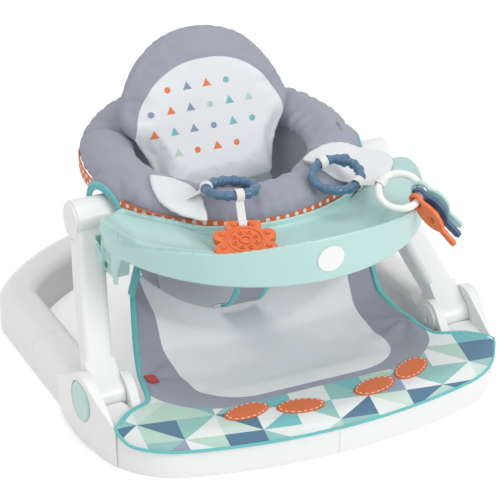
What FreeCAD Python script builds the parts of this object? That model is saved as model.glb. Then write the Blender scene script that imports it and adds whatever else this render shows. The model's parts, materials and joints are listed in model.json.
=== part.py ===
"""Baby floor seat with tray: folding base loop, two-shell arms, padded seat ring and snap-on tray.

Millimetres, +Z up, the child faces -Y. The origin is on the floor under the middle of the base loop.
Right-hand pieces (+X) are modelled and mirrored to the left.
"""

import FreeCAD
import Part
import math
import os

# Main sizes, which the others follow
BASE_HALF_WIDTH = 256.0
BASE_LENGTH = 589.0
TRAY_FRONT_RADIUS = 204.0
TRAY_OVERHANG = 34.0
BOLSTER_OUTER = TRAY_FRONT_RADIUS - TRAY_OVERHANG
RING_CENTRE_Y = 41.0
HUB_Y = 4.5
HUB_Z = 210.0

# Base loop
FRONT_RADIUS = 640.0
FRONT_CORNER_RADIUS = 105.0
REAR_RADIUS = 311.0
REAR_CORNER_RADIUS = 75.0
TUBE_WIDTH = 50.0
TUBE_HEIGHT = 52.0
TUBE_TOP_ROUND = 16.0
TUBE_WALL = 3.0
SEAM_GAP = 0.4
FRONT_SEAM_FROM_PIVOT = 73.0
REAR_SEAM_FROM_PIVOT = 169.0

# Lower pivots, where the arms fold
PIVOT_FROM_FRONT = 153.0
PIVOT_Y = PIVOT_FROM_FRONT - BASE_LENGTH / 2
PIVOT_Z = 54.0
PIVOT_PIN_RADIUS = 5.0
RUNNING_CLEARANCE = 0.06
SIDE_CLEARANCE = 0.5
CLEVIS_INSET = 28.0
CLEVIS_MIDDLE_X = BASE_HALF_WIDTH - CLEVIS_INSET
OUTER_EAR_SWELL = 6.0
OUTER_EAR_FACE_X = BASE_HALF_WIDTH + OUTER_EAR_SWELL
OUTER_EAR_RADIUS = 33.0
OUTER_EAR_REACH = 85.0
INNER_EAR_THICKNESS = 10.5
INNER_EAR_RADIUS = 24.0
INNER_EAR_REACH = 45.0
COVER_RADIUS = 19.0
COVER_THICKNESS = 3.0
SCREW_HEAD_RADIUS = 4.0
SCREW_SHANK_RADIUS = 2.0
BUTTON_RADIUS = 24.5
BUTTON_THICKNESS = 6.0
BUTTON_PROUD = 0.5
BUTTON_CLEARANCE = 0.5
SPRING_RADIUS = 12.0
SPRING_WIRE = 1.2
SPRING_LENGTH = 6.0

# Arms and upper hubs
HUB_RADIUS = 25.0
HUB_CAP_RADIUS = 22.6
HUB_CAP_THICKNESS = 3.0
HUB_TUCK = 18.0
HUB_LENGTH = 57.0
HUB_INNER_X = BOLSTER_OUTER - HUB_TUCK
HUB_OUTER_X = HUB_INNER_X + HUB_LENGTH
ARM_WIDTH = 36.0
ARM_TOP_X = HUB_OUTER_X - ARM_WIDTH / 2 - 1.0
ARM_BOW = 9.0
ARM_LOWER_DEPTH = 30.0
ARM_MIDDLE_DEPTH = 35.0
ARM_UPPER_DEPTH = 38.0
ARM_CORNER = 9.0
TONGUE_RADIUS = 17.0
TONGUE_REACH = 40.0
FOLD_FLOOR_ANGLE = 12.0
AXLE_RADIUS = 9.0

# Seat ring
BOLSTER_WIDTH = 66.0
BOLSTER_INNER = BOLSTER_OUTER - BOLSTER_WIDTH
BOLSTER_OVER_HUB = 26.0
BOLSTER_BASE_Z = HUB_Z + BOLSTER_OVER_HUB
BOLSTER_RISE = 26.0
RING_TILT = 3.0
FRAME_INSET = 28.0
FRAME_OUTER = BOLSTER_OUTER - FRAME_INSET
FRAME_WIDTH = 24.0
FRAME_INNER = FRAME_OUTER - FRAME_WIDTH
FRAME_HEIGHT = 21.0
SOFT_GAP = 0.4
ARCH_RADIUS = 38.0
TRIM_HEIGHT = 12.0
TRIM_THICKNESS = 1.4
LUG_RADIUS = 16.0

# Head pad
PAD_HEIGHT = 199.0
PAD_HALF_WIDTH = BOLSTER_INNER + 8.0
PAD_NECK_HALF_WIDTH = BOLSTER_INNER - 28.0
PAD_WAIST_HALF_WIDTH = BOLSTER_INNER - 12.0
PAD_THICKNESS = 26.0
PAD_CROWN = 10.0
PAD_BOTTOM_Y = RING_CENTRE_Y + 15.0
PAD_DEPTH_IN_RING = 44.0
PAD_BOTTOM_Z = BOLSTER_BASE_Z - PAD_DEPTH_IN_RING
PAD_LEAN = 24.0
BOARD_THICKNESS = 3.0

# Seat sling, straps and foot mat
SLING_TOP_RADIUS = FRAME_INNER - 4.0
SLING_BOTTOM_Z = 48.0
SLING_DISH = 8.0
SLING_THICKNESS = 3.0
LEG_OPENING_HALF_WIDTH = SLING_TOP_RADIUS + 11.0
LEG_OPENING_REAR_Y = 6.0
LEG_OPENING_DROP = 26.0
STRAP_WIDTH = 46.0
STRAP_THICKNESS = 3.0
STRAP_TOP_DROP = 30.0
STRAP_SWAY = 22.0
MAT_THICKNESS = 3.5
MAT_GAP = 0.6
MAT_FRONT_DROP_Z = 39.0
MAT_FLAT_LENGTH = 78.5
MAT_FLAT_END_Y = MAT_FLAT_LENGTH - BASE_LENGTH / 2
MAT_REAR_Y = LEG_OPENING_REAR_Y - 2.0
TAG_LENGTH = 18.0
TAG_WIDTH = 13.0
FRAME_SHIFT_Y = (MAT_THICKNESS + MAT_GAP) / 2

# Tray
TRAY_FRONT_CENTRE_Y = RING_CENTRE_Y - 0.48 * TRAY_FRONT_RADIUS
TRAY_REAR_RADIUS = BOLSTER_OUTER + 17.5
TRAY_REAR_CENTRE_Y = RING_CENTRE_Y + 11.0
TRAY_BOTTOM_Z = BOLSTER_BASE_Z - 24.0
TRAY_FLOOR_RISE = 12.0
TRAY_FLOOR_Z = TRAY_BOTTOM_Z + TRAY_FLOOR_RISE
TRAY_WALL = 3.5
TRAY_FRONT_RISE = 58.0
TRAY_FRONT_HEIGHT_Z = TRAY_BOTTOM_Z + TRAY_FRONT_RISE
TRAY_SIDE_HEIGHT_Z = TRAY_BOTTOM_Z + 8.0
TRAY_REAR_HEIGHT_Z = TRAY_FLOOR_Z + 9.0
TRAY_SHOULDER_Z = TRAY_FLOOR_Z + 15.0
TRAY_END_DEPTH = 13.0
TRAY_END_Y = TRAY_FRONT_CENTRE_Y + TRAY_END_DEPTH
TRAY_END_ROUND_SHARE = 0.894
TRAY_FLARE = 6.0
SHOULDER_LENGTH = 44.0
SHOULDER_FALL = 62.0
SHOULDER_WIDTH = 42.0
TAB_FOOT = 17.0
TAB_FROM_LATCH = 30.0
TAB_WIDTH = 9.0
BADGE_RADIUS = 16.5
BADGE_THICKNESS = 1.5
LATCH_PIN_RADIUS = 1.8
LATCH_WIDTH = 14.0
LATCH_INSET = 4.5
LATCH_X = TRAY_FRONT_RADIUS - LATCH_INSET
LATCH_Y = TRAY_END_Y - 18.0
LATCH_DROP = 19.0
LATCH_PIVOT_Z = TRAY_BOTTOM_Z - LATCH_DROP
LATCH_FOOT = 16.0
LATCH_HEAD = 21.0

# Flaps: offset from the bolster's outside and angle round the ring of root, front, tip and rear
FLAP_LEFT = ((-32.6, -150.8), (4.7, -135.2), (20.2, -118.6), (-29.6, -127.8))
FLAP_RIGHT = ((-52.7, -55.8), (22.8, -53.0), (37.2, -28.5), (-24.0, -31.8))
LOOP_LEFT = (-9.0, -127.94)
LOOP_RIGHT = (-45.5, -56.62)

# Toys
LINK_RADIUS = 28.5
LINK_TUBE = 5.5
LINK_LEFT_OFFSET = -11.4
LINK_LEFT_LIFT = 35.5
LINK_RIGHT_OFFSET = 9.3
LINK_RIGHT_LIFT = 30.5
KEY_RING_RADIUS = 24.5
KEY_RING_TUBE = 4.5
KEY_RING_INSET = 17.0
KEY_RING_LIFT = 2.0
TEETHER_INSET = 52.8
TEETHER_LIFT = 17.0
TEETHER_LOBE_CIRCLE = 28.5
TEETHER_LOBE = 10.0
TEETHER_THICKNESS = 9.0
TEETHER_BAR = 3.0
TEETHER_BAR_Y = TEETHER_LOBE_CIRCLE + 4.0
KEY_LENGTH = 67.0
KEY_EYE_RADIUS = 11.0
KEY_HALF_WIDTH = 15.0
KEY_THICKNESS = 5.0
LOOP_THICKNESS = 1.5
LOOP_CLEARANCE = 0.9
TAPE_WIDTH = 10.0

OUT = "parts"


def vec(x, y, z):
    return FreeCAD.Vector(x, y, z)


X_AXIS = vec(1, 0, 0)
Y_AXIS = vec(0, 1, 0)
Z_AXIS = vec(0, 0, 1)
ORIGIN = vec(0, 0, 0)


def line(a, b):
    return Part.LineSegment(a, b).toShape()


def arc(a, b, c):
    return Part.Arc(a, b, c).toShape()


def prism(edges, direction):
    return Part.Face(Part.Wire(edges)).extrude(direction)


def polygon(points):
    return [line(a, b) for a, b in zip(points, points[1:] + points[:1])]


def box(x0, x1, y0, y1, z0, z1):
    return Part.makeBox(x1 - x0, y1 - y0, z1 - z0, vec(x0, y0, z0))


def rod_x(radius, x0, x1, y, z):
    return Part.makeCylinder(radius, x1 - x0, vec(x0, y, z), X_AXIS)


def mirrored(shape):
    return shape.mirror(ORIGIN, X_AXIS)


def edges_at_z(shape, z):
    return [e for e in shape.Edges if all(abs(v.Z - z) < 1e-6 for v in e.Vertexes)]


def edges_at_x(shape, x):
    return [e for e in shape.Edges if all(abs(v.X - x) < 1e-6 for v in e.Vertexes)]


def unit(x, y):
    size = math.hypot(x, y)
    return x / size, y / size


# Base loop


def loop_wire(inset, z):
    """The base's plan outline, moved inward by inset: front arc, corners, straight sides, rear arc."""
    half = BASE_HALF_WIDTH - inset
    front_arc = FRONT_RADIUS - inset
    rear_arc = REAR_RADIUS - inset
    front_corner = FRONT_CORNER_RADIUS - inset
    rear_corner = REAR_CORNER_RADIUS - inset
    front_y = -BASE_LENGTH / 2 + inset
    rear_y = BASE_LENGTH / 2 - inset
    front_centre = front_y + front_arc
    rear_centre = rear_y - rear_arc
    fx = half - front_corner
    fy = front_centre - math.sqrt((front_arc - front_corner) ** 2 - fx ** 2)
    rx = half - rear_corner
    ry = rear_centre + math.sqrt((rear_arc - rear_corner) ** 2 - rx ** 2)

    def corner(cx, cy, radius, toward):
        """Start, middle and end of a corner arc that begins on the given direction and ends on the side."""
        ux, uy = toward
        mx, my = unit(ux + 1.0, uy)
        start = (cx + radius * ux, cy + radius * uy)
        middle = (cx + radius * mx, cy + radius * my)
        return start, middle, (cx + radius, cy)

    front = corner(fx, fy, front_corner, unit(fx, fy - front_centre))
    rear = corner(rx, ry, rear_corner, unit(rx, ry - rear_centre))

    def point(pair, side=1):
        return vec(side * pair[0], pair[1], z)

    edges = [
        arc(point(front[0], -1), vec(0, front_y, z), point(front[0])),
        arc(*[point(p) for p in front]),
        line(point(front[2]), point(rear[2])),
        arc(*[point(p) for p in reversed(rear)]),
        arc(point(rear[0]), vec(0, rear_y, z), point(rear[0], -1)),
        arc(*[point(p, -1) for p in rear]),
        line(point(rear[2], -1), point(front[2], -1)),
        arc(*[point(p, -1) for p in reversed(front)]),
    ]
    return Part.Wire(edges)


def loop_band(inset_out, inset_in, z0, z1, top_round):
    """A closed loop of rectangular section with its two top edges rounded."""
    outer = Part.Face(loop_wire(inset_out, z0)).extrude(vec(0, 0, z1 - z0))
    inner = Part.Face(loop_wire(inset_in, z0)).extrude(vec(0, 0, z1 - z0))
    band = outer.cut(inner)
    return band.makeFillet(top_round, edges_at_z(band, z1))


FRONT_SEAM_Y = PIVOT_Y - FRONT_SEAM_FROM_PIVOT
REAR_SEAM_Y = PIVOT_Y + REAR_SEAM_FROM_PIVOT
FAR = 600.0
SLOT_HALF = ARM_WIDTH / 2 + SIDE_CLEARANCE
SLOT_INNER_X = CLEVIS_MIDDLE_X - SLOT_HALF
SLOT_OUTER_X = CLEVIS_MIDDLE_X + SLOT_HALF
INNER_EAR_FACE_X = SLOT_INNER_X - INNER_EAR_THICKNESS
RECESS_FLOOR_X = OUTER_EAR_FACE_X + BUTTON_PROUD - BUTTON_THICKNESS - SPRING_LENGTH
PIN_START_X = INNER_EAR_FACE_X + INNER_EAR_THICKNESS / 4


def base_shell():
    """The whole loop as a moulding that is open underneath, with solid ends at each seam and at the pivots."""
    tube = loop_band(0.0, TUBE_WIDTH, 0.0, TUBE_HEIGHT, TUBE_TOP_ROUND)
    hollow = loop_band(
        TUBE_WALL, TUBE_WIDTH - TUBE_WALL, 0.0, TUBE_HEIGHT - TUBE_WALL, TUBE_TOP_ROUND - TUBE_WALL
    )
    slot_length = OUTER_EAR_REACH + OUTER_EAR_RADIUS
    for y0, y1 in (
        (FRONT_SEAM_Y - TUBE_WALL, FRONT_SEAM_Y + TUBE_WALL),
        (PIVOT_Y - OUTER_EAR_RADIUS - TUBE_WALL, PIVOT_Y + slot_length),
        (REAR_SEAM_Y - TUBE_WALL, REAR_SEAM_Y + TUBE_WALL),
    ):
        hollow = hollow.cut(box(-FAR, FAR, y0, y1, -1, FAR))
    hollow = hollow.cut(box(-TUBE_WALL, TUBE_WALL, -FAR, 0, -1, FAR))
    return tube.cut(hollow)


def ear(radius, reach, x0, x1, shoulder_z, low_z):
    """A pivot ear: a round head on tangent flanks that run down to the tube."""
    drop = shoulder_z - PIVOT_Z
    angle = math.atan2(drop, reach) + math.acos(radius / math.hypot(reach, drop))
    ty = radius * math.cos(angle)
    tz = radius * math.sin(angle)

    def point(y, z):
        return vec(x0, PIVOT_Y + y, z)

    edges = [
        line(point(-reach, low_z), point(reach, low_z)),
        line(point(reach, low_z), point(reach, shoulder_z)),
        line(point(reach, shoulder_z), point(ty, PIVOT_Z + tz)),
        arc(point(ty, PIVOT_Z + tz), point(0, PIVOT_Z + radius), point(-ty, PIVOT_Z + tz)),
        line(point(-ty, PIVOT_Z + tz), point(-reach, shoulder_z)),
        line(point(-reach, shoulder_z), point(-reach, low_z)),
    ]
    return prism(edges, vec(x1 - x0, 0, 0))


def fold_slot():
    """Room for the arm's tongue at every angle of the fold."""
    radius = TONGUE_RADIUS + 2 * SIDE_CLEARANCE + 1.5
    tilt = math.radians(FOLD_FLOOR_ANGLE)
    x0 = SLOT_INNER_X

    def point(y, z):
        return vec(x0, PIVOT_Y + y, PIVOT_Z + z)

    low = (radius * math.sin(tilt), -radius * math.cos(tilt))
    run = 4 * TONGUE_REACH
    far = (low[0] + run * math.cos(tilt), low[1] + run * math.sin(tilt))
    top = 3 * TONGUE_REACH
    edges = [
        arc(point(-radius, 0), point(-radius * math.sqrt(0.5), -radius * math.sqrt(0.5)), point(*low)),
        line(point(*low), point(*far)),
        line(point(*far), point(far[0], top)),
        line(point(far[0], top), point(-radius, top)),
        line(point(-radius, top), point(-radius, 0)),
    ]
    return prism(edges, vec(SLOT_OUTER_X - SLOT_INNER_X, 0, 0))


def ear_plan():
    """Plan of the outer ear: it swells out of the tube to the button and falls back to the tube."""
    front = FRONT_SEAM_Y + SEAM_GAP / 2
    rear = PIVOT_Y + OUTER_EAR_REACH
    x0 = SLOT_OUTER_X
    edges = [
        arc(vec(x0 + 1.0, front, 0), vec(OUTER_EAR_FACE_X, PIVOT_Y, 0), vec(BASE_HALF_WIDTH + 0.5, rear, 0)),
        line(vec(BASE_HALF_WIDTH + 0.5, rear, 0), vec(x0, rear, 0)),
        line(vec(x0, rear, 0), vec(x0, front, 0)),
        line(vec(x0, front, 0), vec(x0 + 1.0, front, 0)),
    ]
    return prism(edges, vec(0, 0, FAR))


def side_housing(shell):
    """Right side section of the base with its clevis."""
    piece = shell.common(box(0, FAR, FRONT_SEAM_Y + SEAM_GAP / 2, REAR_SEAM_Y - SEAM_GAP / 2, -1, FAR))
    outer = ear(
        OUTER_EAR_RADIUS, OUTER_EAR_REACH, SLOT_OUTER_X, OUTER_EAR_FACE_X + 2.0, TUBE_HEIGHT - 8.0, TUBE_WALL
    )
    outer = outer.common(ear_plan())
    crest = [e for e in outer.Edges if e.BoundBox.ZMin > TUBE_HEIGHT and e.BoundBox.XMin > OUTER_EAR_FACE_X - 4.0]
    outer = outer.makeFillet(TUBE_WALL, crest)
    inner = ear(
        INNER_EAR_RADIUS, INNER_EAR_REACH, INNER_EAR_FACE_X, SLOT_INNER_X, TUBE_HEIGHT - 12.0, TUBE_WALL
    )
    piece = piece.fuse([outer, inner]).cut(fold_slot())
    recess = rod_x(BUTTON_RADIUS + BUTTON_CLEARANCE, RECESS_FLOOR_X, FAR, PIVOT_Y, PIVOT_Z)
    hole = rod_x(PIVOT_PIN_RADIUS, PIN_START_X, RECESS_FLOOR_X, PIVOT_Y, PIVOT_Z)
    screw_hole = rod_x(SCREW_SHANK_RADIUS, INNER_EAR_FACE_X - 1, PIN_START_X, PIVOT_Y, PIVOT_Z)
    return piece.cut([recess, hole, screw_hole]).removeSplitter()


def pivot_pin():
    return rod_x(PIVOT_PIN_RADIUS, PIN_START_X, RECESS_FLOOR_X, PIVOT_Y, PIVOT_Z)


def pivot_cover():
    """Round cover on the inner ear, with a hole for its screw."""
    x1 = INNER_EAR_FACE_X
    disc = rod_x(COVER_RADIUS, x1 - COVER_THICKNESS, x1, PIVOT_Y, PIVOT_Z)
    disc = disc.makeFillet(COVER_THICKNESS / 2, edges_at_x(disc, x1 - COVER_THICKNESS))
    return disc.cut(rod_x(SCREW_SHANK_RADIUS, x1 - FAR, x1 + 1, PIVOT_Y, PIVOT_Z))


def screw(x_head, length, y, z):
    """A pan-head screw that enters along +X, its head's underside at x_head."""
    head = rod_x(SCREW_HEAD_RADIUS, x_head - 1.2, x_head, y, z)
    return head.fuse(rod_x(SCREW_SHANK_RADIUS, x_head, x_head + length, y, z)).removeSplitter()


def lock_button():
    """Round fold-release button with a boss that guides its spring."""
    x1 = OUTER_EAR_FACE_X + BUTTON_PROUD
    x0 = x1 - BUTTON_THICKNESS
    disc = rod_x(BUTTON_RADIUS, x0, x1, PIVOT_Y, PIVOT_Z)
    disc = disc.makeFillet(BUTTON_THICKNESS / 3, edges_at_x(disc, x1))
    boss = rod_x(SPRING_RADIUS - 2 * SPRING_WIRE, x0 - SPRING_LENGTH / 4, x0, PIVOT_Y, PIVOT_Z)
    return disc.fuse(boss).removeSplitter()


def button_spring():
    """The closed sleeve that the button's return coil fills."""
    x0 = RECESS_FLOOR_X
    sleeve = rod_x(SPRING_RADIUS + SPRING_WIRE / 2, x0, x0 + SPRING_LENGTH, PIVOT_Y, PIVOT_Z)
    return sleeve.cut(rod_x(SPRING_RADIUS - SPRING_WIRE / 2, x0, x0 + SPRING_LENGTH, PIVOT_Y, PIVOT_Z))


# Arms and hubs


def arm_curve():
    """Circle through the pivot, the bowed middle and the hub, in the YZ plane: centre, radius, end angles."""
    dy = HUB_Y - PIVOT_Y
    dz = HUB_Z - PIVOT_Z
    chord = math.hypot(dy, dz)
    radius = (chord ** 2 / 4 + ARM_BOW ** 2) / (2 * ARM_BOW)
    ny, nz = -dz / chord, dy / chord
    cy = (PIVOT_Y + HUB_Y) / 2 + ny * (radius - ARM_BOW)
    cz = (PIVOT_Z + HUB_Z) / 2 + nz * (radius - ARM_BOW)
    a0 = math.atan2(PIVOT_Z - cz, PIVOT_Y - cy)
    a1 = math.atan2(HUB_Z - cz, HUB_Y - cy)
    return cy, cz, radius, a0, a1


def arm_point(share):
    """Centre and outward normal (toward the rear and below) of the arm at a share of its length."""
    cy, cz, radius, a0, a1 = arm_curve()
    angle = a0 + (a1 - a0) * share
    return cy + radius * math.cos(angle), cz + radius * math.sin(angle), math.cos(angle), math.sin(angle)


ARM_LENGTH = math.hypot(HUB_Y - PIVOT_Y, HUB_Z - PIVOT_Z)
TONGUE_SHARE = (TONGUE_REACH - 4.0) / ARM_LENGTH


def arm_x(share):
    """The arm's middle stays in the clevis up to the tongue's end, then leans in to the hub."""
    lean = max(0.0, share - TONGUE_SHARE) / (1.0 - TONGUE_SHARE)
    return CLEVIS_MIDDLE_X + (ARM_TOP_X - CLEVIS_MIDDLE_X) * lean


def rounded_section(share, width, depth, radius):
    """Rounded rectangle across the arm, with its depth along the arm's normal."""
    cy, cz, ny, nz = arm_point(share)
    cx = arm_x(share)
    w = width / 2
    d = depth / 2
    k = radius * (1 - math.sqrt(0.5))

    def point(u, v):
        return vec(cx + u, cy + v * ny, cz + v * nz)

    edges = []
    for su, sv, along_u in ((1, 1, False), (-1, 1, True), (-1, -1, False), (1, -1, True)):
        first = (su * w, sv * (d - radius))
        last = (su * (w - radius), sv * d)
        if along_u:
            first, last = last, first
        middle = (su * (w - k), sv * (d - k))
        edges.append(arc(point(*first), point(*middle), point(*last)))
    joined = []
    for here, after in zip(edges, edges[1:] + edges[:1]):
        joined.append(here)
        joined.append(line(here.Vertexes[-1].Point, after.Vertexes[0].Point))
    return Part.Wire(joined)


def arm_beam(grow=0.0):
    """The bowed beam from the tongue to the hub, with its outside moved out by grow."""
    sections = []
    for share, depth in (
        (TONGUE_SHARE, ARM_LOWER_DEPTH),
        (0.45, ARM_MIDDLE_DEPTH),
        (0.75, (ARM_MIDDLE_DEPTH + ARM_UPPER_DEPTH) / 2),
        (1.0, ARM_UPPER_DEPTH),
    ):
        sections.append(
            rounded_section(share, ARM_WIDTH + 2 * grow, depth + 2 * grow, ARM_CORNER + grow)
        )
    return Part.makeLoft(sections, True, False)


def tongue():
    """Round-ended plate between the clevis ears."""
    x0 = CLEVIS_MIDDLE_X - ARM_WIDTH / 2
    cy, cz, ny, nz = arm_point(TONGUE_REACH / ARM_LENGTH)
    depth = ARM_LOWER_DEPTH / 2
    head = rod_x(TONGUE_RADIUS, x0, x0 + ARM_WIDTH, PIVOT_Y, PIVOT_Z)
    ends = [
        vec(x0, PIVOT_Y + depth * ny, PIVOT_Z + depth * nz),
        vec(x0, cy + depth * ny, cz + depth * nz),
        vec(x0, cy - depth * ny, cz - depth * nz),
        vec(x0, PIVOT_Y - depth * ny, PIVOT_Z - depth * nz),
    ]
    return head.fuse(prism(polygon(ends), vec(ARM_WIDTH, 0, 0)))


ARM_SCREW_SHARES = (0.36, 0.72)


def arm_screw(share):
    cy, cz, ny, nz = arm_point(share)
    return screw(arm_x(share) - ARM_WIDTH / 2 + 1.0, 12.0, cy, cz)


def arm_halves():
    """Outer and inner shell of the right arm with its hub, split on a plane that leans in with the arm."""
    hub = rod_x(HUB_RADIUS, HUB_INNER_X, HUB_OUTER_X, HUB_Y, HUB_Z)
    hub = hub.makeFillet(1.5, edges_at_x(hub, HUB_OUTER_X))
    arm = arm_beam().fuse([tongue(), hub])
    bore = rod_x(PIVOT_PIN_RADIUS + RUNNING_CLEARANCE, 0, FAR, PIVOT_Y, PIVOT_Z)
    axle_bore = rod_x(AXLE_RADIUS + RUNNING_CLEARANCE, 0, HUB_OUTER_X - 8.0, HUB_Y, HUB_Z)
    cap_seat = rod_x(HUB_CAP_RADIUS + 0.3, HUB_OUTER_X, FAR, HUB_Y, HUB_Z)
    arm = arm.cut([bore, axle_bore, cap_seat] + [arm_screw(s) for s in ARM_SCREW_SHARES])
    slope = (ARM_TOP_X - CLEVIS_MIDDLE_X) / (HUB_Z - PIVOT_Z)
    top = HUB_Z + 2 * HUB_RADIUS
    corners = [
        vec(CLEVIS_MIDDLE_X - slope * PIVOT_Z, -FAR, 0),
        vec(CLEVIS_MIDDLE_X + slope * (top - PIVOT_Z), -FAR, top),
        vec(FAR, -FAR, top),
        vec(FAR, -FAR, 0),
    ]
    outside = prism(polygon(corners), vec(0, 2 * FAR, 0))
    return arm.common(outside), arm.cut(outside)


def hub_cap():
    cap = rod_x(HUB_CAP_RADIUS, HUB_OUTER_X, HUB_OUTER_X + HUB_CAP_THICKNESS, HUB_Y, HUB_Z)
    return cap.makeFillet(HUB_CAP_THICKNESS / 2, edges_at_x(cap, HUB_OUTER_X + HUB_CAP_THICKNESS))


# Seat ring


def ring_point(radius, z):
    return vec(radius, RING_CENTRE_Y, z)


def tilted(shape):
    """Turns a piece of the seat about the hub axis by the ring's slight tilt."""
    shape = shape.copy()
    shape.rotate(vec(0, HUB_Y, HUB_Z), X_AXIS, RING_TILT)
    return shape


def turned(edges):
    """A full turn of a section about the ring's own axis."""
    face = Part.Face(Part.Wire(edges))
    return face.revolve(vec(0, RING_CENTRE_Y, 0), Z_AXIS, 360)


def ring_frame():
    """Moulded ring with a lug at each hub."""
    z1 = BOLSTER_BASE_Z - SOFT_GAP
    z0 = z1 - FRAME_HEIGHT
    corners = [(FRAME_INNER, z0), (FRAME_OUTER, z0), (FRAME_OUTER, z1), (FRAME_INNER, z1)]
    ring = turned(polygon([ring_point(r, z) for r, z in corners]))
    reach = HUB_INNER_X - SIDE_CLEARANCE
    lug = rod_x(LUG_RADIUS, FRAME_INNER, reach, HUB_Y, HUB_Z)
    ring = tilted(ring).fuse([lug, mirrored(lug)])
    return ring.cut([hub_axle(), mirrored(hub_axle())]).removeSplitter()


def hub_axle():
    return rod_x(AXLE_RADIUS, FRAME_INNER, HUB_OUTER_X - 9.0, HUB_Y, HUB_Z)


def bolster_crown(lift):
    """The bolster's outside from its hem over the crest to the inner edge, moved out by lift."""
    base = BOLSTER_BASE_Z
    crest = (BOLSTER_OUTER + BOLSTER_INNER) / 2
    shoulder = BOLSTER_OUTER - 6.0
    rise = BOLSTER_RISE
    hem = ring_point(BOLSTER_OUTER + lift, base)
    over = ring_point(shoulder + lift * 0.8, base + rise * 0.72 + lift * 0.6)
    inner = ring_point(BOLSTER_INNER + 6.0 - lift * 0.5, base + rise * 0.93 + lift)
    side = ring_point(BOLSTER_OUTER + lift, base + rise * 0.4)
    top = ring_point(crest, base + rise * 1.08 + lift)
    return hem, side, over, top, inner


def bolster_ring(lift):
    """The whole padded ring: upright outside, crowned top, drawn-in inner side, moved out by lift."""
    hem, side, over, top, inner = bolster_crown(lift)
    base = BOLSTER_BASE_Z
    inner_low = ring_point(BOLSTER_INNER + 8.0 - lift, base)
    inner_side = ring_point(BOLSTER_INNER - lift, base + BOLSTER_RISE * 0.5)
    edges = [
        arc(hem, side, over),
        arc(over, top, inner),
        arc(inner, inner_side, inner_low),
        line(inner_low, hem),
    ]
    return tilted(turned(edges))


def bolster():
    """Padded rim with an arch over each hub."""
    arch = rod_x(ARCH_RADIUS, FRAME_OUTER, FAR, HUB_Y, HUB_Z)
    return bolster_ring(0.0).cut([arch, mirrored(arch)])


def trim_band():
    """Sewn hem band round the bolster's foot, open at the hub arches."""
    r0 = BOLSTER_OUTER + 3 * SOFT_GAP
    r1 = r0 + TRIM_THICKNESS
    z0 = BOLSTER_BASE_Z - TRIM_HEIGHT / 2
    z1 = z0 + TRIM_HEIGHT
    band = turned(polygon([ring_point(r, z) for r, z in ((r0, z0), (r1, z0), (r1, z1), (r0, z1))]))
    arch = rod_x(ARCH_RADIUS, FRAME_OUTER, FAR, HUB_Y, HUB_Z)
    return tilted(band).cut([arch, mirrored(arch)])


FLAP_THICKNESS = 3.5


def flap(root, front, tip, rear):
    """Leaf-shaped flap that lies on the bolster and stands out beyond it, by four plan points."""
    low_over, low_top, low_inner = bolster_crown(SOFT_GAP)[2:]
    high_over, high_top, high_inner = bolster_crown(SOFT_GAP + FLAP_THICKNESS)[2:]
    out = ring_point(BOLSTER_OUTER + 42.0, BOLSTER_BASE_Z + BOLSTER_RISE * 0.38)
    out_top = out + vec(0, 0, FLAP_THICKNESS)
    edges = [
        arc(low_inner, low_top, low_over),
        line(low_over, out),
        line(out, out_top),
        line(out_top, high_over),
        arc(high_over, high_top, high_inner),
        line(high_inner, low_inner),
    ]
    points = [vec(x, y, 0) for x, y in (root, front, tip, rear)]
    leaf = [arc(points[0], points[1], points[2]), arc(points[2], points[3], points[0])]
    return tilted(turned(edges)).common(prism(leaf, vec(0, 0, FAR)))


def around_ring(offset, degrees):
    """Plan point at an angle round the seat ring, its offset measured from the bolster's outside."""
    radius = BOLSTER_OUTER + offset
    angle = math.radians(degrees)
    return radius * math.cos(angle), RING_CENTRE_Y + radius * math.sin(angle)


# Head pad


def pad_outline(depth, inset):
    """Egg-shaped outline of the head pad in its own upright plane, moved in by inset."""
    neck = PAD_NECK_HALF_WIDTH - inset
    wide = PAD_HALF_WIDTH - inset
    high = PAD_HEIGHT - inset
    low = inset

    def point(x, z):
        return vec(x, depth, z)

    tuck = PAD_WAIST_HALF_WIDTH - inset
    span = PAD_HEIGHT
    waist = (tuck, 0.28 * span)
    hip = (0.6 * wide + 0.4 * tuck, 0.38 * span)
    side = (wide, 0.45 * span)
    rise = (0.985 * wide, 0.545 * span)
    cheek = (0.83 * wide, 0.74 * span - 0.5 * inset)
    shoulder = (0.56 * wide, 0.91 * span - 0.85 * inset)
    right = [
        arc(point(neck, low), point(*waist), point(*hip)),
        arc(point(*hip), point(*side), point(*rise)),
        arc(point(*rise), point(*cheek), point(*shoulder)),
    ]
    left = [
        arc(point(-shoulder[0], shoulder[1]), point(-cheek[0], cheek[1]), point(-rise[0], rise[1])),
        arc(point(-rise[0], rise[1]), point(-side[0], side[1]), point(-hip[0], hip[1])),
        arc(point(-hip[0], hip[1]), point(-waist[0], waist[1]), point(-neck, low)),
    ]
    crown = arc(point(*shoulder), point(0, high), point(-shoulder[0], shoulder[1]))
    foot = arc(point(-neck, low), point(0, low - 4.0), point(neck, low))
    return Part.Wire([foot] + right + [crown] + left)


def placed_pad(shape):
    shape = shape.copy()
    shape.rotate(ORIGIN, X_AXIS, -PAD_LEAN)
    shape.translate(vec(0, PAD_BOTTOM_Y, PAD_BOTTOM_Z))
    return shape.cut(bolster_ring(SOFT_GAP))


def pad_front():
    """Crowned cushion with drawn-in edges."""
    y0 = -PAD_THICKNESS
    profiles = [pad_outline(y0, PAD_CROWN * 1.6), pad_outline(y0 * 0.6, PAD_CROWN * 0.3), pad_outline(0, 2.0)]
    return placed_pad(Part.makeLoft(profiles, True, False))


def pad_board():
    """Stiffening board behind the cushion."""
    return placed_pad(Part.Face(pad_outline(0, PAD_CROWN)).extrude(vec(0, BOARD_THICKNESS, 0)))


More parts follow.
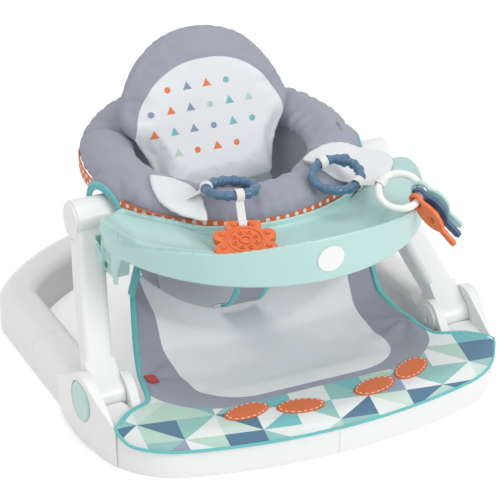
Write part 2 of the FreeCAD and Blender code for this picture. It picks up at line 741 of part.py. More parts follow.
def pad_back():
    """Rear cover, slightly crowned."""
    y0 = BOARD_THICKNESS
    return placed_pad(
        Part.makeLoft([pad_outline(y0, 3.0), pad_outline(y0 + 6.0, PAD_CROWN * 1.2)], True, False)
    )


# Sling, straps and foot mat


def sling():
    """Bucket that hangs inside the ring, open at the front for the legs."""
    top_z = BOLSTER_BASE_Z - 2.0
    t = SLING_THICKNESS
    low = SLING_BOTTOM_Z
    radius = SLING_TOP_RADIUS
    middle_z = low + (top_z - low) * 0.36

    def profile(grow):
        return (
            ring_point(0, low - grow),
            ring_point(radius * 0.66, low + SLING_DISH - grow),
            ring_point(radius * 0.92 + grow, middle_z),
            ring_point(radius + grow, top_z),
        )

    inside = profile(0.0)
    outside = profile(t)
    knee_in = ring_point(radius * 0.86, low + (middle_z - low) * 0.45)
    knee_out = ring_point(radius * 0.86 + t * 0.8, low + (middle_z - low) * 0.45 - t * 0.8)
    edges = [
        line(inside[0], inside[1]),
        arc(inside[1], knee_in, inside[2]),
        line(inside[2], inside[3]),
        line(inside[3], outside[3]),
        line(outside[3], outside[2]),
        arc(outside[2], knee_out, outside[1]),
        line(outside[1], outside[0]),
        line(outside[0], inside[0]),
    ]
    bowl = tilted(turned(edges))
    half = LEG_OPENING_HALF_WIDTH
    legs = box(-half, half, -FAR, LEG_OPENING_REAR_Y, 0, top_z - LEG_OPENING_DROP)
    return bowl.cut(legs)


def crotch_strap():
    """Strap from the ring's front down and back to the mat's rear edge."""
    half = STRAP_WIDTH / 2
    t = STRAP_THICKNESS
    y_top = RING_CENTRE_Y - SLING_TOP_RADIUS - SLING_THICKNESS - 2.0
    y_low = LEG_OPENING_REAR_Y - 20.0
    z_top = BOLSTER_BASE_Z - STRAP_TOP_DROP
    z_low = SLING_BOTTOM_Z + SLING_DISH + 2.0
    points = [(y_top, z_top), (y_top + STRAP_SWAY, 0.58 * z_low + 0.42 * z_top), (y_low, z_low)]
    front = [vec(-half, y, z) for y, z in points]
    back = [vec(-half, y + t, z + t * 0.5) for y, z in points]
    edges = [arc(*front), line(front[2], back[2]), arc(*reversed(back)), line(back[0], front[0])]
    return prism(edges, vec(STRAP_WIDTH, 0, 0))


MAT_BASE_Z = TUBE_HEIGHT + 1.5


def mat_station(run, inset, edge_rise, sag):
    """A cross section of the hammock at a share of its run: half width, height of its edges and of its middle."""
    y = MAT_FLAT_END_Y + run * (MAT_REAR_Y - MAT_FLAT_END_Y)
    return y, BASE_HALF_WIDTH - inset, MAT_BASE_Z + edge_rise, MAT_BASE_Z - sag


MAT_STATIONS = (
    mat_station(0.0, 10.0, 0.0, 0.5),
    mat_station(0.1, 32.0, 0.0, 3.0),
    mat_station(0.2, 66.0, -1.5, 9.5),
    mat_station(0.436, 78.0, -1.5, 16.5),
    mat_station(0.627, 90.0, 12.5, 15.5),
    mat_station(0.745, 96.0, 62.5, 11.5),
    mat_station(1.0, 106.0, 63.5, 7.5),
)


def mat_front():
    """Flat front of the mat: it lies on the tube and turns down over its front edge."""
    t = MAT_THICKNESS
    top = MAT_BASE_Z + t
    outside = Part.Face(loop_wire(-MAT_GAP - t, 0.0)).extrude(vec(0, 0, top))
    outside = outside.makeFillet(TUBE_TOP_ROUND + t, edges_at_z(outside, top))
    inside = Part.Face(loop_wire(-MAT_GAP, 0.0)).extrude(vec(0, 0, MAT_BASE_Z))
    inside = inside.makeFillet(TUBE_TOP_ROUND, edges_at_z(inside, MAT_BASE_Z))
    return outside.cut(inside).common(box(-FAR, FAR, -FAR, MAT_FLAT_END_Y, MAT_FRONT_DROP_Z, FAR))


def foot_mat():
    """Hammock of cloth from the front tube back to the leg straps, low in the middle."""
    t = MAT_THICKNESS
    sections = []
    for y, half, edge_z, middle_z in MAT_STATIONS:
        low = [vec(-half, y, edge_z), vec(0, y, middle_z), vec(half, y, edge_z)]
        high = [vec(p.x, p.y, p.z + t) for p in low]
        edges = [arc(*low), line(low[2], high[2]), arc(*reversed(high)), line(high[0], low[0])]
        sections.append(Part.Wire(edges))
    hammock = Part.makeLoft(sections, True, True)
    return mat_front().fuse(hammock).removeSplitter()


def leg_strap():
    """Right side strap from the mat's tied corner up to the ring frame."""
    y, half, edge_z, middle_z = MAT_STATIONS[-2]
    foot = vec(half - 6.0, y, edge_z + MAT_THICKNESS + SOFT_GAP)
    head = vec(FRAME_OUTER - 12.0, y + 4.0, BOLSTER_BASE_Z - FRAME_HEIGHT - 6.0)
    t = vec(STRAP_THICKNESS, 0, 0)
    edges = polygon([foot, head, head + t, foot + t])
    return prism(edges, vec(0, 16.0, 0))


def mat_tag(mat):
    """Small blank label sewn on the mat near its left corner, following the mat's surface."""
    high = mat.copy()
    high.translate(vec(0, 0, SOFT_GAP + 1.2))
    low = mat.copy()
    low.translate(vec(0, 0, SOFT_GAP))
    y, half, edge_z, middle_z = MAT_STATIONS[3]
    x = 5.0 - half
    return high.cut(low).common(box(x, x + TAG_WIDTH, y - TAG_LENGTH - 2.0, y - 2.0, MAT_FRONT_DROP_Z, FAR))


# Tray


def wall_radius(z):
    """The front wall flares out from the tray's foot to its rim."""
    return TRAY_FRONT_RADIUS + TRAY_FLARE * (z - TRAY_BOTTOM_Z) / (TRAY_FRONT_HEIGHT_Z - TRAY_BOTTOM_Z)


def end_radius():
    """Rounding of the tray's ends, a share of the width between its front and rear arcs there."""
    front = math.sqrt(TRAY_FRONT_RADIUS ** 2 - TRAY_END_DEPTH ** 2)
    rear = math.sqrt(TRAY_REAR_RADIUS ** 2 - (TRAY_REAR_CENTRE_Y - TRAY_END_Y) ** 2)
    return TRAY_END_ROUND_SHARE * (front - rear)


def crescent(inset, z0, z1):
    """The tray's room between its flared front wall and its concave rear arc, moved in by inset."""
    rear = TRAY_REAR_RADIUS + inset
    end = TRAY_END_Y - inset
    low = wall_radius(z0) - inset
    high = wall_radius(z1) - inset
    disc = Part.makeCone(low, high, z1 - z0, vec(0, TRAY_FRONT_CENTRE_Y, z0))
    keep = box(-FAR, FAR, -FAR, end, z0, z1)
    hole = Part.makeCylinder(rear, z1 - z0, vec(0, TRAY_REAR_CENTRE_Y, z0))
    shape = disc.common(keep).cut(hole).removeSplitter()
    corners = []
    for edge in shape.Edges:
        start = edge.Vertexes[0].Point
        upright = edge.BoundBox.ZLength > 0.9 * (z1 - z0)
        if upright and abs(start.y - end) < 0.01 and abs(start.x) > rear:
            corners.append(edge)
    return shape.makeFillet(end_radius() - inset, corners)


def rim_profile():
    """Everything below the tray's arched rim: high in the middle of the front, low at the sides."""
    half = TRAY_FRONT_RADIUS + 10.0
    side = TRAY_SIDE_HEIGHT_Z
    edges = [
        line(vec(-half, 0, 0), vec(half, 0, 0)),
        line(vec(half, 0, 0), vec(half, 0, side)),
        arc(vec(half, 0, side), vec(0, 0, TRAY_FRONT_HEIGHT_Z), vec(-half, 0, side)),
        line(vec(-half, 0, side), vec(-half, 0, 0)),
    ]
    face = Part.Face(Part.Wire(edges))
    face.translate(vec(0, -FAR, 0))
    return face.extrude(vec(0, 2 * FAR, 0))


def bowl_room():
    """Everything above the tray's floor, which sweeps up to the shoulder at each end."""
    flat = 0.5 * TRAY_FRONT_RADIUS
    end = TRAY_FRONT_RADIUS + 4.0
    high = TRAY_SHOULDER_Z + 4.0
    middle = (0.55 * flat + 0.45 * end, TRAY_FLOOR_Z + 0.22 * (high - TRAY_FLOOR_Z))
    edges = [
        line(vec(-flat, -FAR, TRAY_FLOOR_Z), vec(flat, -FAR, TRAY_FLOOR_Z)),
        arc(vec(flat, -FAR, TRAY_FLOOR_Z), vec(middle[0], -FAR, middle[1]), vec(end, -FAR, high)),
        line(vec(end, -FAR, high), vec(end, -FAR, FAR)),
        line(vec(end, -FAR, FAR), vec(-end, -FAR, FAR)),
        line(vec(-end, -FAR, FAR), vec(-end, -FAR, high)),
        arc(vec(-end, -FAR, high), vec(-middle[0], -FAR, middle[1]), vec(-flat, -FAR, TRAY_FLOOR_Z)),
    ]
    return prism(edges, vec(0, 2 * FAR, 0))


def shoulder_room():
    """Room of the right shoulder, which falls away forward along the rim and inward along the rear lip."""
    low = TRAY_BOTTOM_Z
    edge = TRAY_SIDE_HEIGHT_Z
    high = TRAY_SHOULDER_Z
    y_high = TRAY_END_Y - SHOULDER_LENGTH
    y_low = y_high - SHOULDER_FALL
    x_high = TRAY_FRONT_RADIUS - SHOULDER_WIDTH
    x_low = 2 * x_high - TRAY_FRONT_RADIUS
    forward = [vec(0, y_low, low), vec(0, y_low, edge), vec(0, y_high, high), vec(0, FAR, high), vec(0, FAR, low)]
    inward = [vec(x_low, -FAR, low), vec(x_low, -FAR, edge), vec(x_high, -FAR, high), vec(FAR, -FAR, high)]
    inward.append(vec(FAR, -FAR, low))
    room = prism(polygon(forward), vec(FAR, 0, 0))
    return room.common(prism(polygon(inward), vec(0, 2 * FAR, 0)))


def tray_end():
    """Fittings under the tray's right end: the block that sits on the arm, the guide tab and the latch ears."""
    foot = LATCH_PIVOT_Z - TAB_FOOT
    block = box(LATCH_X - 27.5, LATCH_X - 5.0, LATCH_Y - 24.0, TRAY_END_Y + 2.0, foot - 4.0, TRAY_FLOOR_Z)
    wall = Part.makeCylinder(TRAY_FRONT_RADIUS, FAR, vec(0, TRAY_FRONT_CENTRE_Y, 0))
    wall = wall.cut(Part.makeCylinder(TRAY_FRONT_RADIUS - TRAY_WALL, FAR, vec(0, TRAY_FRONT_CENTRE_Y, 0)))

    def point(y, z):
        return vec(LATCH_X - SHOULDER_WIDTH, LATCH_Y - TAB_FROM_LATCH - y, z)

    rear_top = point(0, TRAY_FLOOR_Z)
    rear_foot = point(5.0, foot)
    tip = point(5.0 + TAB_WIDTH / 2, foot - 3.5)
    front_foot = point(5.0 + TAB_WIDTH, foot)
    bend = point(9.0 + TAB_WIDTH, (foot + TRAY_FLOOR_Z) / 2)
    front_top = point(25.0 + TAB_WIDTH, TRAY_FLOOR_Z)
    tab = [
        line(rear_top, rear_foot),
        arc(rear_foot, tip, front_foot),
        arc(front_foot, bend, front_top),
        line(front_top, rear_top),
    ]
    parts = [wall.common(prism(tab, vec(100, 0, 0)))]
    inner = LATCH_WIDTH / 2 + 0.4
    for side in (-1, 1):
        near = LATCH_Y + side * inner
        far = LATCH_Y + side * (inner + 3.0)
        y0 = min(near, far)
        ear_box = box(LATCH_X - 8.0, LATCH_X + 3.5, y0, y0 + 3.0, LATCH_PIVOT_Z - 4.0, TRAY_FLOOR_Z - 6.0)
        parts.append(ear_box)
    return block.cut(arm_beam(0.5)).fuse(parts)


def tray():
    """Crescent tray with a high front wall, a sunk bowl, an open underside and a lip along the seat."""
    top = TRAY_FRONT_HEIGHT_Z + 10.0
    body = crescent(0.0, TRAY_BOTTOM_Z, top).common(rim_profile())
    lip = Part.makeCylinder(TRAY_REAR_RADIUS + 14.0, FAR, vec(0, TRAY_REAR_CENTRE_Y, TRAY_REAR_HEIGHT_Z))
    body = body.cut(lip)
    shoulder = crescent(0.0, TRAY_BOTTOM_Z, TRAY_SHOULDER_Z)
    shoulder = shoulder.makeChamfer(5.0, edges_at_z(shoulder, TRAY_SHOULDER_Z))
    right = shoulder.common(shoulder_room())
    body = body.fuse([right, mirrored(right)])
    bowl = crescent(TRAY_WALL, TRAY_FLOOR_Z, top).common(bowl_room())
    under = crescent(TRAY_WALL, TRAY_BOTTOM_Z - 1.0, TRAY_FLOOR_Z - TRAY_WALL)
    body = body.cut([bowl, under]).fuse([tray_end(), mirrored(tray_end())])
    pin = latch_pin(RUNNING_CLEARANCE, 0.5)
    half = LATCH_WIDTH / 2 + 0.4
    thumb = box(LATCH_X - 6.0, FAR, LATCH_Y - half, LATCH_Y + half, TRAY_BOTTOM_Z - 1.0, TRAY_BOTTOM_Z + 6.0)
    return body.cut([pin, mirrored(pin), thumb, mirrored(thumb)]).removeSplitter()


def latch_pin(grow, extra):
    """The latch's stub axle along Y, grown in radius and length."""
    half = LATCH_WIDTH / 2 + 2.5 + extra
    start = vec(LATCH_X, LATCH_Y - half, LATCH_PIVOT_Z)
    return Part.makeCylinder(LATCH_PIN_RADIUS + grow, 2 * half, start, Y_AXIS)


def latch():
    """Right latch paddle: a thumb plate that leans out at the top, with stub axles and a foot."""
    low = LATCH_PIVOT_Z - LATCH_FOOT
    high = LATCH_PIVOT_Z + LATCH_HEAD
    points = [
        (LATCH_X - 3.4, low),
        (LATCH_X + 1.8, low),
        (LATCH_X + 2.3, LATCH_PIVOT_Z + 6.0),
        (LATCH_X + 8.5, high),
        (LATCH_X + 5.3, high + 1.2),
        (LATCH_X - 2.3, LATCH_PIVOT_Z + 8.0),
        (LATCH_X - 2.3, low + 4.0),
        (LATCH_X - 3.4, low + 3.0),
    ]
    corners = [vec(x, LATCH_Y - LATCH_WIDTH / 2, z) for x, z in points]
    plate = prism(polygon(corners), vec(0, LATCH_WIDTH, 0))
    return plate.fuse(latch_pin(0.0, 0.0)).removeSplitter()


def badge():
    """Plain round plate on the tray's front wall."""
    z = (TRAY_BOTTOM_Z + TRAY_FRONT_HEIGHT_Z) / 2 + 1.0
    y = TRAY_FRONT_CENTRE_Y - TRAY_FRONT_RADIUS
    plate = Part.makeCylinder(BADGE_RADIUS, 20.0, vec(0, y + 10.0, z), vec(0, -1, 0))
    low = TRAY_BOTTOM_Z
    high = TRAY_FRONT_HEIGHT_Z
    foot = vec(0, TRAY_FRONT_CENTRE_Y, low)
    core = Part.makeCone(wall_radius(low), wall_radius(high), high - low, foot)
    t = BADGE_THICKNESS
    shell = Part.makeCone(wall_radius(low) + t, wall_radius(high) + t, high - low, foot)
    return plate.common(shell).cut(core)


# Toys


def axes_at(origin, across, along):
    """Placement with X on the first direction and Y toward the second."""
    x = vec(*across).normalize()
    z = x.cross(vec(*along)).normalize()
    y = z.cross(x)
    matrix = FreeCAD.Matrix(
        x.x, y.x, z.x, origin[0], x.y, y.y, z.y, origin[1], x.z, y.z, z.z, origin[2], 0, 0, 0, 1
    )
    return FreeCAD.Placement(matrix)


def put(shape, placement):
    shape = shape.copy()
    shape.Placement = placement.multiply(shape.Placement)
    return shape


def lying(origin, tilt):
    """Placement of a toy that faces the seat's front left, its far edge raised by the tilt."""
    turn = math.radians(-25.0)
    lift = math.radians(tilt)
    across = (math.cos(turn), math.sin(turn), 0.0)
    along = (-math.sin(turn) * math.cos(lift), math.cos(turn) * math.cos(lift), math.sin(lift))
    return axes_at(origin, across, along)


def over_tray(inset, degrees, z):
    """Point above the tray at an angle round it, its inset measured from the front wall."""
    radius = TRAY_FRONT_RADIUS - inset
    angle = math.radians(degrees)
    return radius * math.cos(angle), TRAY_FRONT_CENTRE_Y + radius * math.sin(angle), z


LINK_LEFT = lying((*around_ring(LINK_LEFT_OFFSET, -109.52), BOLSTER_BASE_Z + LINK_LEFT_LIFT), -8.0)
LINK_RIGHT = lying((*around_ring(LINK_RIGHT_OFFSET, -63.86), BOLSTER_BASE_Z + LINK_RIGHT_LIFT), 14.6)
KEY_RING = lying(over_tray(KEY_RING_INSET, -49.68, TRAY_FRONT_HEIGHT_Z + KEY_RING_LIFT), 30.3)
TEETHER = axes_at(
    over_tray(TEETHER_INSET, -118.43, TRAY_FLOOR_Z + TEETHER_LIFT), (0.94, -0.33, 0.0), (0.32, 0.91, 0.26)
)


def on_ring(radius, degrees):
    angle = math.radians(degrees)
    return vec(radius * math.cos(angle), radius * math.sin(angle), 0)


def tangent(placement, degrees):
    angle = math.radians(degrees)
    return placement.Rotation.multVec(vec(-math.sin(angle), math.cos(angle), 0))


def link_ring():
    return Part.makeTorus(LINK_RADIUS, LINK_TUBE)


def beaded_link_ring():
    """Link ring with a ball beside its gap."""
    ball = Part.makeSphere(LINK_TUBE + 2.5, on_ring(LINK_RADIUS, 71.0))
    return link_ring().fuse(ball).removeSplitter()


def teether_shape():
    """Flower with eight lobes, a raised ring on its face and a bar for the strap between two lobes."""
    t = TEETHER_THICKNESS
    flower = Part.makeCylinder(TEETHER_LOBE_CIRCLE, t)
    lobes = [Part.makeCylinder(TEETHER_LOBE, t, on_ring(TEETHER_LOBE_CIRCLE, 22.5 + 45 * k)) for k in range(8)]
    face = Part.makeCylinder(0.84 * TEETHER_LOBE_CIRCLE, t + 1.2)
    face = face.cut(Part.makeCylinder(0.72 * TEETHER_LOBE_CIRCLE, t + 2.0))
    flower = flower.fuse(lobes + [face])
    slot = TAPE_WIDTH / 2 + 2.0
    flower = flower.cut(box(-slot, slot, TEETHER_BAR_Y - 6.5, FAR, -1, t + 2))
    bar = rod_x(TEETHER_BAR, -slot - 2.0, slot + 2.0, TEETHER_BAR_Y, t / 2)
    flower = flower.fuse(bar).removeSplitter()
    flower.translate(vec(0, 0, -t / 2))
    return flower


def key_shape():
    """Key toy along -Y from its ring hole: a round eye, an oval body and a narrow tip."""
    t = KEY_THICKNESS
    length = KEY_LENGTH
    eye = Part.makeCylinder(KEY_EYE_RADIUS, t)
    wide = KEY_HALF_WIDTH
    neck = 0.6 * wide
    waist = 0.4 * wide
    tip_half = 0.3 * wide
    top = -0.06 * length
    belly = -0.37 * length
    low = -0.64 * length
    body = [
        arc(vec(-neck, top, 0), vec(-wide, belly, 0), vec(-waist, low, 0)),
        line(vec(-waist, low, 0), vec(waist, low, 0)),
        arc(vec(waist, low, 0), vec(wide, belly, 0), vec(neck, top, 0)),
        line(vec(neck, top, 0), vec(-neck, top, 0)),
    ]
    tip = box(-tip_half, tip_half, -length + tip_half, -0.6 * length, 0, t)
    end = Part.makeCylinder(tip_half, t, vec(0, -length + tip_half, 0))
    key = eye.fuse([prism(body, vec(0, 0, t)), tip, end])
    window = Part.makeCylinder(wide / 3, t, vec(0, -0.4 * length, 0))
    key = key.cut([Part.makeCylinder(KEY_RING_TUBE + 2.9, t), window]).removeSplitter()
    key.translate(vec(0, 0, -t / 2))
    return key


KEY_ANGLES = {"key_mint": 6.0, "key_blue": -15.0, "key_orange": -36.0}


def key_placement(degrees):
    """Places a key's hole on the ring at the angle; the keys fan out as they hang over the rim."""
    hole = KEY_RING.multVec(on_ring(KEY_RING_RADIUS, degrees))
    fan = -degrees / 40.0
    down = vec(0.60 - 0.16 * fan, -0.42 - 0.18 * fan, -0.68).normalize()
    through = tangent(KEY_RING, degrees)
    across = down.cross(through).normalize()
    return axes_at((hole.x, hole.y, hole.z), (across.x, across.y, across.z), (-down.x, -down.y, -down.z))


def tape_loop(point, axis, tube):
    """Short sleeve of tape round a tube at a point."""
    inner = tube + LOOP_CLEARANCE
    start = point - axis * (TAPE_WIDTH / 2)
    outer = Part.makeCylinder(inner + LOOP_THICKNESS, TAPE_WIDTH, start, axis)
    return outer.cut(Part.makeCylinder(inner, TAPE_WIDTH, start, axis))


def tape_band(a, b, axis, start, stop):
    """Flat tape from a toward b, its width along the axis, between two distances from the ends."""
    way = b - a
    size = way.Length
    way.normalize()
    place = axes_at((a.x, a.y, a.z), (way.x, way.y, way.z), (axis.x, axis.y, axis.z))
    half = TAPE_WIDTH / 2
    t = LOOP_THICKNESS / 2
    return put(box(start, size - stop, -half, half, -t, t), place)


def tape_between(a, axis_a, tube_a, b, axis_b, tube_b):
    """Tape with a loop round each of two tubes."""
    middle = (axis_a + axis_b).normalize()
    inset = LOOP_CLEARANCE + LOOP_THICKNESS / 2
    band = tape_band(a, b, middle, tube_a + inset, tube_b + inset)
    return band.fuse([tape_loop(a, axis_a, tube_a), tape_loop(b, axis_b, tube_b)]).removeSplitter()


def teether_strap():
    front = LINK_LEFT.multVec(on_ring(LINK_RADIUS, 290.0))
    bar = TEETHER.multVec(vec(0, TEETHER_BAR_Y, 0))
    bar_axis = TEETHER.Rotation.multVec(X_AXIS)
    return tape_between(front, tangent(LINK_LEFT, 290.0), LINK_TUBE, bar, bar_axis, TEETHER_BAR)


def key_strap():
    start = LINK_RIGHT.multVec(on_ring(LINK_RADIUS, 330.0))
    stop = KEY_RING.multVec(on_ring(KEY_RING_RADIUS, 150.0))
    axis = tangent(LINK_RIGHT, 330.0)
    other = tangent(KEY_RING, 150.0)
    if axis.dot(other) < 0:
        other = other * -1
    return tape_between(start, axis, LINK_TUBE, stop, other, KEY_RING_TUBE)


def flap_loop(placement, degrees, flap_shape, x, y):
    """Tape from a point on a flap to its link ring; its end lies on the flap."""
    start = placement.multVec(on_ring(LINK_RADIUS, degrees))
    axis = tangent(placement, degrees)
    upright = line(vec(x, y, 0), vec(x, y, FAR))
    end = vec(x, y, flap_shape.common(upright).BoundBox.ZMax + SOFT_GAP)
    band = tape_band(start, end, axis, LINK_TUBE + LOOP_CLEARANCE + LOOP_THICKNESS / 2, 0.0)
    above = flap_shape.copy()
    above.translate(vec(0, 0, SOFT_GAP))
    return band.cut([above, flap_shape]).fuse(tape_loop(start, axis, LINK_TUBE)).removeSplitter()


def build():
    """Every node by name."""
    nodes = {}

    def pair(name, shape):
        nodes[name + "_right"] = shape
        nodes[name + "_left"] = mirrored(shape)

    shell = base_shell()
    gap = SEAM_GAP / 2
    pair("base_front", shell.common(box(gap, FAR, -FAR, FRONT_SEAM_Y - gap, -1, FAR)))
    nodes["base_rear"] = shell.common(box(-FAR, FAR, REAR_SEAM_Y + gap, FAR, -1, FAR))
    pair("side_housing", side_housing(shell))
    pair("pivot_pin", pivot_pin())
    pair("pivot_cover", pivot_cover())
    cover_screw = screw(INNER_EAR_FACE_X - COVER_THICKNESS, COVER_THICKNESS + 2.0, PIVOT_Y, PIVOT_Z)
    nodes["cover_screws"] = Part.makeCompound([cover_screw, mirrored(cover_screw)])
    pair("lock_button", lock_button())
    pair("button_spring", button_spring())
    outer, inner = arm_halves()
    pair("arm_outer_shell", outer)
    pair("arm_inner_shell", inner)
    pair("hub_cap", hub_cap())
    screws = [arm_screw(s) for s in ARM_SCREW_SHARES]
    nodes["arm_screws"] = Part.makeCompound(screws + [mirrored(s) for s in screws])
    nodes["seat_ring_frame"] = ring_frame()
    pair("hub_axle", hub_axle())
    nodes["seat_bolster"] = bolster()
    nodes["hem_trim"] = trim_band()
    nodes["head_pad_cushion"] = pad_front()
    nodes["head_pad_board"] = pad_board()
    nodes["head_pad_back"] = pad_back()
    nodes["seat_sling"] = sling()
    nodes["crotch_strap"] = crotch_strap()
    nodes["foot_mat"] = foot_mat()
    nodes["mat_tag"] = mat_tag(nodes["foot_mat"])
    pair("leg_strap", leg_strap())
    nodes["flap_left"] = flap(*[around_ring(*point) for point in FLAP_LEFT])
    nodes["flap_right"] = flap(*[around_ring(*point) for point in FLAP_RIGHT])
    nodes["flap_loop_left"] = flap_loop(LINK_LEFT, 180.0, nodes["flap_left"], *around_ring(*LOOP_LEFT))
    nodes["flap_loop_right"] = flap_loop(LINK_RIGHT, 125.0, nodes["flap_right"], *around_ring(*LOOP_RIGHT))
    nodes["tray"] = tray()
    nodes["tray_badge"] = badge()
    pair("tray_latch", latch())
    nodes["link_ring_left"] = put(link_ring(), LINK_LEFT)
    nodes["link_ring_right"] = put(beaded_link_ring(), LINK_RIGHT)
    nodes["teether"] = put(teether_shape(), TEETHER)
    nodes["teether_strap"] = teether_strap()
    nodes["key_ring"] = put(Part.makeTorus(KEY_RING_RADIUS, KEY_RING_TUBE), KEY_RING)
    nodes["key_strap"] = key_strap()
    for name, degrees in KEY_ANGLES.items():
        nodes[name] = put(key_shape(), key_placement(degrees))
    return nodes


def main():
    os.makedirs(OUT, exist_ok=True)
    for name, shape in build().items():
        shape = shape.copy()
        shape.translate(vec(0, FRAME_SHIFT_Y, 0))
        solids = len(shape.Solids)
        print(f"{name}: {solids} solid(s), valid {shape.isValid()}, {shape.Volume / 1000:.1f} cm3")
        shape.exportStep(os.path.join(OUT, name + ".step"))


main()
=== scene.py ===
"""Looks of the baby floor seat: moulded plastic, padded ring and head pad, foot mat, sewn bands and toys.

Metres, in the frame's own axes: +Z up, the child faces -Y, +X is the side with the key toys.
"""

import json
import math

import bmesh
import bpy
import numpy as np
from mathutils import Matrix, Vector
from mathutils.bvhtree import BVHTree

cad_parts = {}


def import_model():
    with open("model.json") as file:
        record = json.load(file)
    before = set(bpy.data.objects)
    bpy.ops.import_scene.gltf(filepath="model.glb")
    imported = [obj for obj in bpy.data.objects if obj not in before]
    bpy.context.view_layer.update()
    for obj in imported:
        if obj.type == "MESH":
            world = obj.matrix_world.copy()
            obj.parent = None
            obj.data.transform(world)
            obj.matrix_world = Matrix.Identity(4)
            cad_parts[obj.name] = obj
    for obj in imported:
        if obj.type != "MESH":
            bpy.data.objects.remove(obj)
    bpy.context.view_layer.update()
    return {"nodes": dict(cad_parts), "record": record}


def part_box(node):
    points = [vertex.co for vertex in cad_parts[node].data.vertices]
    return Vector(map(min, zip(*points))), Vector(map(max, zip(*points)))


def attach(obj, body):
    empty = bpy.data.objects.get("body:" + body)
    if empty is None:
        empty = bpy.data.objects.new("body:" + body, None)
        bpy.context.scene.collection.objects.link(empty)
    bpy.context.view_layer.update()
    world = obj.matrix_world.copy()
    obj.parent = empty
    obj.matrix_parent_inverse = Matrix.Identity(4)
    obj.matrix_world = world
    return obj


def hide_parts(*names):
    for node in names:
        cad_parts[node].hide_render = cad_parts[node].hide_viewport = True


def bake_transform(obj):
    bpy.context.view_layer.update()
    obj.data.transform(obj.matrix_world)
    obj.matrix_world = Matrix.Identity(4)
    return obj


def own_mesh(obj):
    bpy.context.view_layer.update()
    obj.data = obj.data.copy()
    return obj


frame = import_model()
NODES = frame["nodes"]
MM = 0.001

# Camera, and the direction from the seat back to it
VIEW_SIDE = math.radians(-25.0)
VIEW_HEIGHT = math.radians(27.7)
VIEW_BACK = Vector(
    (
        math.sin(VIEW_SIDE) * math.cos(VIEW_HEIGHT),
        -math.cos(VIEW_SIDE) * math.cos(VIEW_HEIGHT),
        math.sin(VIEW_HEIGHT),
    )
)
CAMERA_PLACE = (-1.145, -2.50145, 1.572)
CAMERA_LENS = 181.58

# Seat ring, from the frame
BOLSTER_LOW, BOLSTER_HIGH = [Vector(c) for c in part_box("seat_bolster")]
CAP_LOW, CAP_HIGH = [Vector(c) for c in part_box("hub_cap_right")]
HUB = (CAP_LOW + CAP_HIGH) / 2
RING_RADIUS = (BOLSTER_HIGH.x - BOLSTER_LOW.x) / 2
RING_CENTRE = Vector((0.0, (BOLSTER_LOW.y + BOLSTER_HIGH.y) / 2, 0.0))
RING_TILT = math.radians(3.0)
HEM_Z = HUB.z + 26 * MM
ARCH_RADIUS = 38 * MM
TRIM_HALF_HEIGHT = 7 * MM
HEM_STAND_OFF = 1.5 * MM
HEM_CLEAR = 2.2 * MM
HEM_FARTHEST = 4 * MM
HEM_ARCS = (
    # piece, first and last angle, points
    ("hem_band_front", -158.0, -22.0, 120),
    ("hem_band_rear", -2.5, 182.5, 160),
)
HUB_PANEL_WIDTH = 24 * MM
HUB_PANEL_LEAN = 36 * MM
HUB_PANEL_LAP = 4 * MM
HUB_PANEL_CLOTH = 1.2 * MM
RADIAL_SEAMS = (-38, 28, 62, 118, 152, 218)
FLAP_SWELL = 0.9 * MM
FLAP_BENDS = (
    # side, shares of its length from behind where it begins to leave the ring and goes wholly with the arms
    ("left", 0.1, 0.5),
    ("right", -0.15, 0.12),
)

# Sling and straps
SLING_CLOTH = 2.2 * MM
SLING_PROFILE = (
    # share of the top radius, share of the height
    (0.06, 0.0),
    (0.35, 0.012),
    (0.62, 0.035),
    (0.78, 0.085),
    (0.87, 0.18),
    (0.92, 0.34),
    (0.955, 0.62),
    (0.985, 0.85),
    (1.0, 1.0),
)
LEG_OPENING_Y = 8 * MM
LEG_OPENING_DROP = 26 * MM
SLING_PANEL_HALF = 96 * MM
SLING_PANEL_DROP = 60 * MM

# Foot mat
MAT_LOW = Vector(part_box("foot_mat")[0])
MAT_TOP = 57 * MM
MAT_DROP = 18 * MM
MAT_ROUND = 19.5 * MM
MAT_CLOTH = 2.4 * MM
FRONT_ARC = 644 * MM
CORNER_ARC = 109 * MM
BASE_HALF = 260 * MM
MAT_SIDE = (
    # y, half width, height of the edges, height of the middle
    (-0.214, 0.246, 0.0570, 0.0565),
    (-0.192, 0.224, 0.0570, 0.0540),
    (-0.170, 0.190, 0.0555, 0.0475),
    (-0.118, 0.178, 0.0555, 0.0405),
    (-0.076, 0.166, 0.0695, 0.0415),
    (-0.050, 0.158, 0.1195, 0.0455),
    (0.006, 0.128, 0.1235, 0.0495),
)
PANEL_HALF_WIDTH = 129 * MM
PANEL_FRONT_Y = -0.219
PANEL_CORNER = 62 * MM
FIELD_HALF_WIDTH = 184 * MM
FIELD_FRONT_Y = -0.231
FIELD_CORNER = 84 * MM
MAT_REAR_Y = 0.006
PRINT_REAR_Y = 0.2
PRINT_TURN = math.radians(11)
TUBE_EDGE = (0.206, 0.236)
PATCH_HALF_LENGTH = 29 * MM
PATCH_HALF_WIDTH = 15.5 * MM
PATCH_PLACES = (
    # x, y, turn in degrees
    (-0.098, -0.247, 8.0),
    (-0.036, -0.262, -10.0),
    (0.062, -0.258, 14.0),
    (0.120, -0.240, 32.0),
)

# Tray
TRAY_FRONT_RADIUS = 204 * MM
TRAY_FRONT_Y = -54.87 * MM
TRAY_REAR_RADIUS = 187.5 * MM
TRAY_REAR_Y = 54.05 * MM
TRAY_FLOOR_Z = 224 * MM
TRAY_SHOULDER_Z = 239 * MM
TRAY_BRIM = 7 * MM
END_FILL = (84 * MM, 132 * MM)
END_BRIM = (108 * MM, 165 * MM)
END_EASE = (70 * MM, 100 * MM)

# Head pad, in its own leaning plane
PAD_LEAN = math.radians(24.0)
PAD_LOW = Vector(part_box("head_pad_board")[0])
PAD_MIDDLE = 0.095

